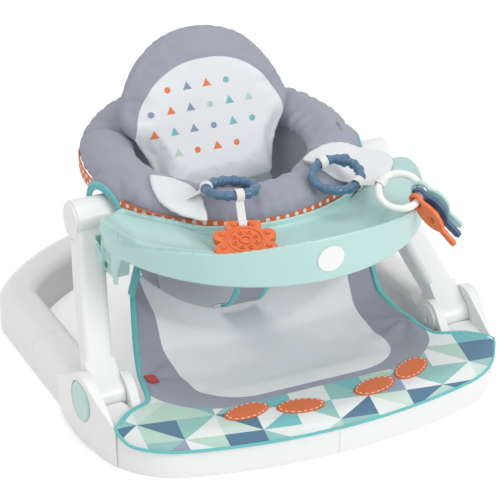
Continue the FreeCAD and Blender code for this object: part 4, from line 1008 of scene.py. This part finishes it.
def pad_frame(points):
    """Across, up and forward place of points in the head pad's leaning plane."""
    y = points[:, 1] - PAD_LOW.y
    z = points[:, 2] - PAD_LOW.z
    up = y * math.sin(PAD_LEAN) + z * math.cos(PAD_LEAN)
    front = -y * math.cos(PAD_LEAN) + z * math.sin(PAD_LEAN)
    return points[:, 0], up, front


def rounded_box(u, v, half_u, low, high, corner):
    """Distance to a rectangle with round corners, negative inside."""
    du = np.abs(u) - (half_u - corner)
    dv = np.abs(v - (low + high) / 2) - ((high - low) / 2 - corner)
    outside = np.hypot(np.maximum(du, 0), np.maximum(dv, 0))
    return outside + np.minimum(np.maximum(du, dv), 0) - corner


def head_pad():
    """Egg-shaped cushion: puffed skin, a seam round its edge and puckers along the seam."""
    obj = node_copy("head_pad", ["head_pad_cushion", "head_pad_board", "head_pad_back"], PAD_M)
    obj = smoothed(remeshed(obj, 4.5 * MM), 8)
    puffed(obj, 4.0, -0.02, 6 * MM)
    obj = subdivided(obj)
    points = coords(obj)
    outward = normals(obj)
    u, v, front = pad_frame(points)
    angle = np.arctan2(v - PAD_MIDDLE, u)
    reach = np.hypot(u, v - PAD_MIDDLE)
    rim = ease(reach, 0.06, 0.105)
    pucker = np.sin(46 * angle + 2.4 * np.sin(3 * angle)) * (0.55 + 0.45 * np.sin(7 * angle))
    lift = 0.35 * MM * rim * pucker
    lift += 1.1 * MM * np.sin(u / 0.0105 + 0.8 * np.sin(v / 0.03)) * (1 - ease(v, 0.03, 0.085))
    seam = np.exp(-(((front + 1.5 * MM) / (2.2 * MM)) ** 2)) * ease(reach, 0.05, 0.08)
    lift -= 2.4 * MM * seam
    set_coords(obj, points + outward * lift[:, None])
    arch = rounded_box(u, v, 0.1, -0.06, 0.152, 0.094)
    store(obj, "panel", np.where(outward[:, 1] < -0.15, arch, 1.0))
    store_uv(obj, "flat", np.stack([u + 0.013, v - 0.082], axis=1))
    finished(obj, "seat", "grey_fabric", "head_pad_cushion", "head_pad_back")
    return obj


def hem_edges(tree, first, last, count):
    """Lower edge of the hem band on the ring's foot and its upper edge against the cover."""
    lower = []
    upper = []
    foot = Vector((0, 0, HEM_Z - TRIM_HALF_HEIGHT))
    head = Vector((0, 0, HEM_Z + TRIM_HALF_HEIGHT))
    reach = RING_RADIUS + HEM_STAND_OFF
    for k in range(count):
        angle = math.radians(first + (last - first) * k / (count - 1))
        out = Vector((math.cos(angle), math.sin(angle), 0.0))
        lower.append(tilted(RING_CENTRE + out * (RING_RADIUS + HEM_STAND_OFF) + foot))
        high = tilted(RING_CENTRE + out * 0.3 + head)
        hit = tree.ray_cast(high, -out)[0]
        if hit:
            found = min((hit - RING_CENTRE).to_2d().length + HEM_CLEAR, RING_RADIUS + HEM_FARTHEST)
            reach += 0.3 * (found - reach)
        upper.append(tilted(RING_CENTRE + out * reach + head))
    return lower, upper


def hem_bands(cover):
    """Spotted band round the bolster's foot, open at the hubs."""
    tree = surface_of(cover.data)
    for name, first, last, count in HEM_ARCS:
        lower, upper = hem_edges(tree, first, last, count)
        path = [(a + b) / 2 for a, b in zip(lower, upper)]
        sides = [b - a for a, b in zip(lower, upper)]
        obj = sweep(name, path, sides, TRIM_HALF_HEIGHT, 0.9 * MM, TRIM_M, square=5.0, around=20)
        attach(obj, "seat")
        outs = [(b - RING_CENTRE).to_2d().normalized().to_3d() for b in upper]
        edge = [b + out * 0.8 * MM - s * 0.06 for b, out, s in zip(upper, outs, sides)]
        seam = stitched(name + "_stitches", [edge], ORANGE_THREAD_M, width=0.7 * MM)
        finished(seam, "seat", "orange_fabric")
    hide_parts("hem_trim")


def arch_point(side, angle, reach):
    """A place on the ring's outer wall, at a reach from the hub axis; farther up it leans in to the cover."""
    y = HUB.y + reach * math.cos(angle)
    z = HUB.z + reach * math.sin(angle)
    wall = math.sqrt((RING_RADIUS + HEM_STAND_OFF) ** 2 - (y - RING_CENTRE.y) ** 2)
    lean = max(reach - ARCH_RADIUS, 0.0) / HUB_PANEL_WIDTH
    return Vector((side * (wall - HUB_PANEL_LEAN * lean ** 2), y, z))


def arch_bindings():
    """Grey side panel over each hub and the folded teal binding round its cut-out."""
    for name, side in (("left", -1), ("right", 1)):
        angles = [math.radians(12 + 156 * k / 48) for k in range(49)]
        reaches = [ARCH_RADIUS - HUB_PANEL_LAP + HUB_PANEL_WIDTH * k / 8 for k in range(9)]
        points = [arch_point(side, angle, reach) for reach in reaches for angle in angles]
        panel = add_mesh("hub_panel_" + name, points, grid_faces(len(reaches), len(angles)), GREY_CLOTH_M)
        thicken(panel, HUB_PANEL_CLOTH, 0.0)
        face_outward(panel)
        finished(panel, "seat", "grey_fabric")
        out = Vector((side * 0.8 * MM, 0, 0))
        path = [arch_point(side, angle, ARCH_RADIUS - 2 * MM) + out for angle in angles]
        sides = [Vector((0, math.cos(angle), math.sin(angle))) for angle in angles]
        obj = sweep("arch_binding_" + name, path, sides, 5.4 * MM, 2.2 * MM, TEAL_M, square=2.8)
        finished(obj, "seat", "teal_fabric")
        line = [p + Vector((side * 2.2 * MM, 0, 0)) for p in path]
        finished(stitched("arch_stitches_" + name, [line], TEAL_THREAD_M), "seat", "teal_fabric")


def flaps():
    """White leaf flaps on the ring, lightly filled."""
    for name, sewn, free in FLAP_BENDS:
        node = "flap_" + name
        obj = soft_copy("leaf_flap_" + name, [node], WHITE_CLOTH_M, 1.6 * MM, 8)
        set_coords(obj, coords(obj) + normals(obj) * FLAP_SWELL)
        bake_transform(obj)
        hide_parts(node)


def tapes():
    """Woven tapes between the flaps, rings and toys."""
    for node, body, rests in (
        ("flap_loop_left", "arms", "leaf_flap_left"),
        ("flap_loop_right", "arms", "leaf_flap_right"),
        ("teether_strap", "teether", "ridged_ring_left"),
        ("key_strap", "key_ring", "ridged_ring_right"),
    ):
        obj = soft_copy("tape_" + node, [node], TAPE_M, 0.55 * MM, 5)
        finished(obj, body, "white_fabric", node)


# Sling and straps


def sling():
    """Cloth bucket inside the ring, open at the front for the legs."""
    low, high = [Vector(c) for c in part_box("seat_sling")]
    top_radius = (high.x - low.x) / 2 - 1.5 * MM
    bottom = low.z + 1.5 * MM
    rise = high.z - bottom
    around = 120
    points = []
    for share, height in SLING_PROFILE:
        for k in range(around):
            angle = 2 * math.pi * k / around
            fold = 1 + 0.012 * math.sin(15 * angle + 1.3 * math.sin(3 * angle)) * height * (1 - 0.6 * height)
            radius = top_radius * share * fold
            y = RING_CENTRE.y - 1 * MM + radius * math.sin(angle)
            points.append(Vector((radius * math.cos(angle), y, bottom + rise * height)))
    faces = grid_faces(len(SLING_PROFILE), around, wrap_cols=True)
    faces.append(tuple(reversed(range(around))))
    obj = add_mesh("seat_bucket", points, faces, SLING_M)
    bm = bmesh.new()
    bm.from_mesh(obj.data)
    roof = high.z - LEG_OPENING_DROP
    for spot, normal in (((0, LEG_OPENING_Y, 0), (0, 1, 0)), ((0, 0, roof), (0, 0, 1))):
        geometry = list(bm.verts) + list(bm.edges) + list(bm.faces)
        bmesh.ops.bisect_plane(bm, geom=geometry, plane_co=spot, plane_no=normal)
    gone = []
    for face in bm.faces:
        centre = face.calc_center_median()
        if centre.y < LEG_OPENING_Y and centre.z < roof:
            gone.append(face)
    bmesh.ops.delete(bm, geom=gone, context="FACES")
    bmesh.ops.recalc_face_normals(bm, faces=bm.faces)
    bm.to_mesh(obj.data)
    bm.free()
    thicken(obj, SLING_CLOTH, 0.0)
    obj = subdivided(obj)
    face_outward(obj)
    spots = coords(obj)
    out = (spots - np.array(RING_CENTRE))[:, :2] / top_radius
    facing = normals(obj)
    inward = facing[:, 2] - np.sum(facing[:, :2] * out, axis=1)
    edge = np.maximum(np.abs(spots[:, 0]) - SLING_PANEL_HALF, spots[:, 2] - (high.z - SLING_PANEL_DROP))
    store(obj, "panel", np.where(inward > 0.0, edge, 0.05))
    finished(obj, "seat", "grey_fabric", "seat_sling")
    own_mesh(obj)


def crotch_strap():
    """Grey strap with bound edges from the ring's front down to the mat."""
    low, high = [Vector(c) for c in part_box("crotch_strap")]
    half = (high.x - low.x) / 2
    start = Vector((0, low.y + 1.5 * MM, high.z))
    knee = Vector((0, low.y + 8 * MM, 0.085))
    stop = Vector((0, high.y - 1.5 * MM, low.z + 1.5 * MM))
    path = []
    for k in range(30):
        t = k / 29
        path.append(start * (1 - t) ** 2 + knee * (2 * t * (1 - t)) + stop * t * t)
    sides = [Vector((1, 0, 0))] * len(path)
    name = "crotch_strap_cloth"
    strap = sweep(name, path, sides, half - 2 * MM, 1.3 * MM, GREY_CLOTH_M, square=6.0, around=28)
    finished(strap, "seat", "grey_fabric", "crotch_strap")
    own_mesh(strap)
    for name, side in (("left", -1), ("right", 1)):
        edge = [p + Vector((side * (half - 3 * MM), 0, 0)) for p in path]
        obj = sweep("strap_binding_" + name, edge, sides, 4.2 * MM, 2.3 * MM, TEAL_M, square=2.6)
        finished(obj, "seat", "teal_fabric")
        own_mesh(obj)


def leg_straps():
    """Teal straps from the mat's rear corners up to the ring, tied below."""
    for name in ("left", "right"):
        node = "leg_strap_" + name
        obj = soft_copy("side_strap_" + name, [node], TEAL_M, 0.9 * MM, 5)
        finished(obj, "seat", "teal_fabric", node)
        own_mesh(obj)


# Foot mat


FRONT_CENTRE_Y = MAT_LOW.y + FRONT_ARC
CORNER_X = BASE_HALF - CORNER_ARC
CORNER_Y = FRONT_CENTRE_Y - math.sqrt((FRONT_ARC - CORNER_ARC) ** 2 - CORNER_X ** 2)


def mat_outline(count):
    """Half widths and places of the mat's front rows, from the side's start round the corner to the tip."""
    first = math.asin((MAT_SIDE[0][0] - CORNER_Y) / CORNER_ARC)
    turn = math.atan2(CORNER_Y - FRONT_CENTRE_Y, CORNER_X)
    rows = []
    corner = count // 2
    for k in range(corner):
        angle = first + (turn - first) * k / corner
        rows.append((CORNER_Y + CORNER_ARC * math.sin(angle), CORNER_X + CORNER_ARC * math.cos(angle)))
    for k in range(count - corner):
        angle = turn + (-math.pi / 2 - turn) * k / (count - corner - 1)
        half = max(FRONT_ARC * math.cos(angle), 0.2 * MM)
        rows.append((FRONT_CENTRE_Y + FRONT_ARC * math.sin(angle), half))
    return rows


def edge_distance(x, y):
    """How far a point of the front lies inside the mat's outline."""
    x = abs(x)
    if x * (FRONT_CENTRE_Y - CORNER_Y) > CORNER_X * (FRONT_CENTRE_Y - y):
        return CORNER_ARC - math.hypot(x - CORNER_X, y - CORNER_Y)
    return FRONT_ARC - math.hypot(x, y - FRONT_CENTRE_Y)


def mat_height(x, y, half):
    """Top of the mat: a hammock behind, flat on the tube in front and turned down over its edge."""
    share = min(abs(x) / half, 1.0)
    edge = through(MAT_SIDE, 2, y)
    middle = through(MAT_SIDE, 3, y)
    z = middle + (edge - middle) * share ** 2
    depth = max(edge_distance(x, y), 0.0)
    if y < -0.2 and depth < MAT_ROUND:
        fall = MAT_ROUND - math.sqrt(MAT_ROUND ** 2 - (MAT_ROUND - depth) ** 2)
        z -= min(fall, MAT_DROP) * float(ease(-y, *TUBE_EDGE))
    for side in (-1, 1):
        away = math.hypot(x - side * 0.176, y + 0.125)
        angle = math.atan2(y + 0.125, x - side * 0.176)
        z += 1.9 * MM * math.exp(-((away / 0.075) ** 2)) * math.sin(7 * angle + side) * min(away / 0.02, 1.0)
    z += 0.7 * MM * math.sin(x / 0.021 + 1.4 * math.sin(y / 0.037)) * float(ease(y, -0.2, -0.12))
    return z


def cloth_place(x, y, z):
    """Plan place of the print: over the tube's edge it runs on, so its lines look straight from the front."""
    fall = max(MAT_TOP - z, 0.0) * float(ease(-y, *TUBE_EDGE))
    return x + fall * VIEW_BACK.x / VIEW_BACK.z, y + fall * VIEW_BACK.y / VIEW_BACK.z


def foot_mat():
    """One cloth from the front tube to the leg straps, printed and bound all round."""
    rows = []
    rear = 46
    for k in range(rear):
        y = MAT_REAR_Y + (MAT_SIDE[0][0] - MAT_REAR_Y) * k / rear
        rows.append((y, through(MAT_SIDE, 1, y)))
    rows += mat_outline(64)
    cols = 97
    points = []
    for y, half in rows:
        for j in range(cols):
            s = math.sin(math.pi / 2 * (2 * j / (cols - 1) - 1))
            points.append(Vector((s * half, y, mat_height(s * half, y, half))))
    faces = grid_faces(len(rows), cols)
    obj = add_mesh("foot_mat_cloth", points, [tuple(reversed(f)) for f in faces], MAT_M)
    u, v = np.array([cloth_place(*p) for p in points]).T
    store(obj, "panel", rounded_box(u, v, PANEL_HALF_WIDTH, PANEL_FRONT_Y, PRINT_REAR_Y, PANEL_CORNER))
    store(obj, "field", rounded_box(u, v, FIELD_HALF_WIDTH, FIELD_FRONT_Y, PRINT_REAR_Y, FIELD_CORNER))
    across = u * math.cos(PRINT_TURN) - v * math.sin(PRINT_TURN)
    along = u * math.sin(PRINT_TURN) + v * math.cos(PRINT_TURN)
    store_uv(obj, "flat", np.stack([across + 0.5, along + 0.49], axis=1))
    thicken(obj, MAT_CLOTH, -1.0)
    face_outward(obj)
    rim = even_path(points[::cols] + points[cols - 1 :: cols][::-1], 5 * MM)
    sides = inward_sides(rim, Vector((0, -0.15, 0.05)))
    inset = [p + s * (BINDING_HALF - 2.0 * MM) - Vector((0, 0, MAT_CLOTH / 2)) for p, s in zip(rim, sides)]
    binding = sweep("mat_binding", inset, sides, BINDING_HALF, BINDING_THICK, TEAL_M, square=2.6)
    line = [p + s * (BINDING_HALF - 1.6 * MM) + Vector((0, 0, 1.9 * MM)) for p, s in zip(inset, sides)]
    seam = stitched("mat_binding_stitches", [line], TEAL_THREAD_M)
    finished(binding, "base", "teal_fabric")
    finished(seam, "base", "teal_fabric")
    finished(obj, "base", "mat_fabric", "foot_mat")
    return obj


def even_path(path, step):
    """A path with its points spaced evenly."""
    lengths = [0.0]
    for a, b in zip(path, path[1:]):
        lengths.append(lengths[-1] + (b - a).length)
    count = int(lengths[-1] / step)
    result = []
    k = 0
    for i in range(count + 1):
        want = lengths[-1] * i / count
        while k < len(path) - 2 and lengths[k + 1] < want:
            k += 1
        span = max(lengths[k + 1] - lengths[k], 1e-9)
        result.append(path[k].lerp(path[k + 1], (want - lengths[k]) / span))
    return result


def inward_sides(rim, middle):
    """Directions from a rim into its cloth, at right angles to the rim."""
    sides = []
    last = len(rim) - 1
    for i, here in enumerate(rim):
        tangent = (rim[min(i + 1, last)] - rim[max(i - 1, 0)]).normalized()
        toward = middle - here
        toward.z *= 0.3
        sides.append((toward - tangent * toward.dot(tangent)).normalized())
    return sides


def oval_patches(mat):
    """Orange oval patches sewn on the patchwork with a dashed line."""
    tree = surface_of(mat.data)
    lines = []
    for number, (cx, cy, turn) in enumerate(PATCH_PLACES):
        spin = math.radians(turn)
        points = []
        rings = 8
        around = 40
        edge = []
        for r in range(1, rings + 1):
            for k in range(around):
                angle = 2 * math.pi * k / around
                u = PATCH_HALF_LENGTH * r / rings * math.cos(angle)
                v = PATCH_HALF_WIDTH * r / rings * math.sin(angle)
                x = cx + u * math.cos(spin) - v * math.sin(spin)
                y = cy + u * math.sin(spin) + v * math.cos(spin)
                crown = 0.9 * MM * (1 - (r / rings) ** 4)
                top = tree.ray_cast(Vector((x, y, 0.2)), Vector((0, 0, -1)))[0]
                point = Vector((x, y, top.z + 0.6 * MM + crown))
                points.append(point)
                if r == rings - 1:
                    edge.append(point + Vector((0, 0, 0.5 * MM)))
        faces = [tuple(reversed(f)) for f in grid_faces(rings, around, wrap_cols=True)]
        faces.append(tuple(range(around)))
        obj = add_mesh("oval_patch_%d" % number, points, faces, ORANGE_CLOTH_M)
        face_outward(obj)
        thicken(obj, 0.8 * MM, 0.0)
        face_outward(obj)
        finished(obj, "base", "orange_fabric")
        lines.append(edge + edge[:1])
    seam = stitched("patch_stitches", lines, THREAD_M, pitch=7 * MM, length=4.6 * MM, width=1.1 * MM)
    finished(seam, "base", "white_fabric")


def mat_tag():
    obj = soft_copy("mat_label", ["mat_tag"], TAG_M, 0.5 * MM, 2)
    finished(obj, "base", "tag_fabric", "mat_tag")


# Tray and toys


def tray():
    """The moulded tray with its edges rounded over, its ends filled to a saddle under a raised brim."""
    obj = soft_copy("tray_moulding", ["tray"], MINT_M, 1.7 * MM, 8)
    points = coords(obj)
    x, y, z = points.T
    front = TRAY_FRONT_RADIUS - np.hypot(x, y - TRAY_FRONT_Y)
    rear = np.hypot(x, y - TRAY_REAR_Y) - TRAY_REAR_RADIUS
    away = np.stack([x, y - TRAY_FRONT_Y], axis=1) / np.hypot(x, y - TRAY_FRONT_Y)[:, None]
    outer = np.sum(normals(obj)[:, :2] * away, axis=1)
    bowl = (z > TRAY_FLOOR_Z - 1.5 * MM) & (np.minimum(front, rear) > 0.8 * MM) & (outer < 0.4)
    fill = ease(np.abs(x), *END_FILL) * bowl
    places = np.linspace(0, np.abs(x).max(), 40)
    rim = [z[(front < 6 * MM) & (np.abs(np.abs(x) - p) < 8 * MM)].max() for p in places]
    share = np.clip(rear / np.maximum(front + rear, 1e-6), 0, 1)
    saddle = TRAY_SHOULDER_Z + (np.interp(np.abs(x), places, rim) - TRAY_SHOULDER_Z) * share ** 2
    z += fill * np.maximum(saddle - z, 0)
    brim = ease(np.abs(x), *END_BRIM) * (1 - ease(front, 0, 34 * MM)) ** 2
    z += TRAY_BRIM * brim * ease(z, TRAY_FLOOR_Z, TRAY_SHOULDER_Z)
    set_coords(obj, np.stack([x, y, z], axis=1))
    group = obj.vertex_groups.new(name="ends")
    weight = bowl * ease(np.abs(x), *END_EASE) * ease(np.minimum(front, rear), 3 * MM, 8 * MM)
    for index in np.nonzero(weight > 0.02)[0]:
        group.add([int(index)], float(weight[index]), "REPLACE")
    calm = obj.modifiers.new("ease the ends", "SMOOTH")
    calm.iterations = 60
    calm.factor = 0.6
    calm.vertex_group = "ends"
    settle(obj)
    finished(obj, "tray", "mint_plastic", "tray")


def plane_of(node):
    """Centre and own axes of a flat node, its thin direction first."""
    points = coords(NODES[node])
    centre = points.mean(axis=0)
    return centre, np.linalg.eigh(np.cov((points - centre).T))[1]


def ridged_rings():
    """Link rings with rounded ridges round the hoop."""
    for name in ("left", "right"):
        node = "link_ring_" + name
        obj = soft_copy("ridged_ring_" + name, [node], SLATE_M, 0.8 * MM, 4)
        centre, axes = plane_of(node)
        points = coords(obj)
        local = (points - centre) @ axes
        angle = np.arctan2(local[:, 1], local[:, 2])
        ridge = LINK_RIDGE * np.maximum(np.sin(LINK_RIDGES * angle), -0.3)
        set_coords(obj, points + normals(obj) * ridge[:, None])
        finished(obj, "link_" + name, "slate_plastic", node)


def toys():
    """Teether, key ring and keys with their edges rounded over."""
    for name, node, body, material, slot in (
        ("flower_teether", "teether", "teether", ORANGE_M, "orange_plastic"),
        ("round_key_ring", "key_ring", "key_ring", WHITE_M, "white_plastic"),
        ("key_toy_mint", "key_mint", "key_mint", MINT_M, "mint_plastic"),
        ("key_toy_blue", "key_blue", "key_blue", NAVY_M, "slate_plastic"),
        ("key_toy_orange", "key_orange", "key_orange", ORANGE_M, "orange_plastic"),
    ):
        finished(soft_copy(name, [node], material, 0.7 * MM, 5), body, slot, node)


def dome_tree():
    """One low dome at every point of the mesh."""
    tree, given, result = geometry_tree(
        "domes",
        [("Radius", "NodeSocketFloat", 0.003), ("Plastic", "NodeSocketMaterial", None)],
    )
    nodes = tree.nodes
    links = tree.links
    ball = nodes.new("GeometryNodeMeshIcoSphere")
    ball.inputs["Subdivisions"].default_value = 3
    place = nodes.new("GeometryNodeInstanceOnPoints")
    real = nodes.new("GeometryNodeRealizeInstances")
    paint = nodes.new("GeometryNodeSetMaterial")
    links.new(given.outputs["Radius"], ball.inputs["Radius"])
    links.new(given.outputs["Geometry"], place.inputs["Points"])
    links.new(ball.outputs["Mesh"], place.inputs["Instance"])
    links.new(place.outputs["Instances"], real.inputs["Geometry"])
    links.new(real.outputs["Geometry"], paint.inputs["Geometry"])
    links.new(given.outputs["Plastic"], paint.inputs["Material"])
    links.new(paint.outputs["Geometry"], result.inputs["Geometry"])
    return tree


def teether_relief():
    """Raised rings, a circle of small rings and a dome on each petal of the teether."""
    centre, axes = plane_of("teether")
    local = (coords(NODES["teether"]) - centre) @ axes
    angle = np.arctan2(local[:, 1], local[:, 2])
    reach = np.hypot(local[:, 1], local[:, 2])
    bins = np.floor((angle + math.pi) / (2 * math.pi) * 180).astype(int) % 180
    edge = np.array([reach[bins == k].max() if (bins == k).any() else 0.0 for k in range(180)])
    waves = np.fft.rfft(edge - edge.mean())
    petals = 5 + int(np.argmax(np.abs(waves[5:16])))
    start = -np.angle(waves[petals]) / petals - math.pi + math.pi / 180
    facing = 1.0 if axes[2, 0] > 0 else -1.0
    face = np.max(local[:, 0] * facing)

    def spot(radius, turn, lift):
        flat = np.array([facing * (face + lift), radius * math.sin(turn), radius * math.cos(turn)])
        return Vector(centre + axes @ flat)

    turns = [start + 2 * math.pi * k / petals for k in range(petals)]
    domes = [spot(PETAL_DOME_REACH, turn, -1.4 * MM) for turn in turns]
    mesh = bpy.data.meshes.new("teether_domes")
    mesh.from_pydata([tuple(p) for p in domes], [], [])
    obj = add_object("teether_domes", mesh)
    node_modifier(obj, dome_tree(), {"Radius": PETAL_DOME_RADIUS, "Plastic": ORANGE_M})
    finished(settle(obj), "teether", "orange_plastic")
    outward = Vector(axes[:, 0] * facing)
    rings = [(0.0, 0.0, 20.5 * MM, 1.5 * MM), (0.0, 0.0, 6.0 * MM, 1.1 * MM)]
    rings += [(13 * MM, turn, 2.2 * MM, 0.9 * MM) for turn in turns]
    sides = [outward] * HOOP_POINTS
    for number, (radius, turn, hoop, wire) in enumerate(rings):
        middle = spot(radius, turn, -0.4 * MM) - spot(0, 0, 0)
        path = [middle + spot(hoop, 2 * math.pi * k / HOOP_POINTS, 0) for k in range(HOOP_POINTS)]
        obj = sweep("teether_hoop_%d" % number, path, sides, wire, wire, ORANGE_M, around=12, closed=True)
        finished(obj, "teether", "orange_plastic")


def button_coils():
    """Wire coils behind the fold buttons."""
    for name in ("left", "right"):
        node = "button_spring_" + name
        low, high = [Vector(c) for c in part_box(node)]
        centre = (low + high) / 2
        radius = (high.z - low.z) / 2 - 0.6 * MM
        path = []
        sides = []
        for k in range(141):
            t = k / 140
            angle = 2 * math.pi * COIL_TURNS * t
            out = Vector((0, math.cos(angle), math.sin(angle)))
            x = low.x + 0.6 * MM + (high.x - low.x - 1.2 * MM) * t
            path.append(Vector((x, centre.y, centre.z)) + out * radius)
            sides.append(out)
        obj = sweep("button_coil_" + name, path, sides, COIL_WIRE, COIL_WIRE, STEEL_M, around=8)
        finished(obj, "base", "steel", node)
        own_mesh(obj)


# Mouldings kept from the frame


def mouldings():
    """Materials and shading of the frame's own plastic and steel nodes."""
    paint = {
        "white_plastic": WHITE_M,
        "mint_plastic": MINT_M,
        "slate_plastic": SLATE_M,
        "orange_plastic": ORANGE_M,
        "steel": STEEL_M,
        "board": BOARD_M,
    }
    for part in frame["record"]["subparts"]:
        material = paint.get(part["material_slot"])
        if material is None:
            continue
        obj = NODES[part["node"]]
        obj.data.materials.clear()
        obj.data.materials.append(material)
        node_modifier(obj, SHADING, {"Sharp angle": SHARP_ANGLE})


# Floor, light and camera


def camera_only(tree):
    """1 for what the camera sees straight on, in a mirror or through clear plastic."""
    path = tree.nodes.new("ShaderNodeLightPath")
    seen = maths(tree, "MAXIMUM", path.outputs["Is Camera Ray"], path.outputs["Is Glossy Ray"])
    return maths(tree, "MAXIMUM", seen, path.outputs["Is Transmission Ray"])


def floor():
    material = bpy.data.materials.new("pale floor")
    material.use_nodes = True
    tree = material.node_tree
    shader = tree.nodes["Principled BSDF"]
    shader.inputs["Base Color"].default_value = (0.9, 0.9, 0.9, 1)
    shader.inputs["Roughness"].default_value = 0.9
    shader.inputs["Specular IOR Level"].default_value = 0.0
    shader.inputs["Emission Color"].default_value = (1, 1, 1, 1)
    glow = maths(tree, "MULTIPLY", camera_only(tree), 0.3)
    tree.links.new(glow, shader.inputs["Emission Strength"])
    half = 14.0
    corners = [(-half, -half, 0), (half, -half, 0), (half, half, 0), (-half, half, 0)]
    add_mesh("floor", corners, [(0, 1, 2, 3)], material)


def world():
    sky = bpy.data.worlds.new("studio")
    bpy.context.scene.world = sky
    sky.use_nodes = True
    tree = sky.node_tree
    backdrop = tree.nodes["Background"]
    backdrop.inputs["Color"].default_value = (1, 1, 1, 1)
    strength = maths(tree, "ADD", maths(tree, "MULTIPLY", camera_only(tree), 0.4), 0.6)
    tree.links.new(strength, backdrop.inputs["Strength"])


def lamp(name, place, target, size, power):
    data = bpy.data.lights.new(name, "AREA")
    data.shape = "DISK"
    data.size = size
    data.energy = power
    obj = bpy.data.objects.new(name, data)
    bpy.context.scene.collection.objects.link(obj)
    obj.location = place
    obj.rotation_euler = (Vector(target) - Vector(place)).to_track_quat("-Z", "Y").to_euler()


def camera():
    """The photograph's view: from the front left and above."""
    data = bpy.data.cameras.new("photo view")
    data.sensor_width = 36.0
    data.lens = CAMERA_LENS
    data.clip_end = 50.0
    obj = bpy.data.objects.new("photo view", data)
    bpy.context.scene.collection.objects.link(obj)
    obj.location = CAMERA_PLACE
    obj.rotation_euler = (-VIEW_BACK).to_track_quat("-Z", "Y").to_euler()
    bpy.context.scene.camera = obj


ring_cover = bolster()
head_pad()
hem_bands(ring_cover)
arch_bindings()
flaps()
ridged_rings()
toys()
teether_relief()
tapes()
sling()
mat_cloth = foot_mat()
oval_patches(mat_cloth)
mat_tag()
crotch_strap()
leg_straps()
tray()
button_coils()
mouldings()
floor()
world()
for settings in LAMPS:
    lamp(*settings)
camera()
bpy.context.scene.view_settings.view_transform = "Standard"
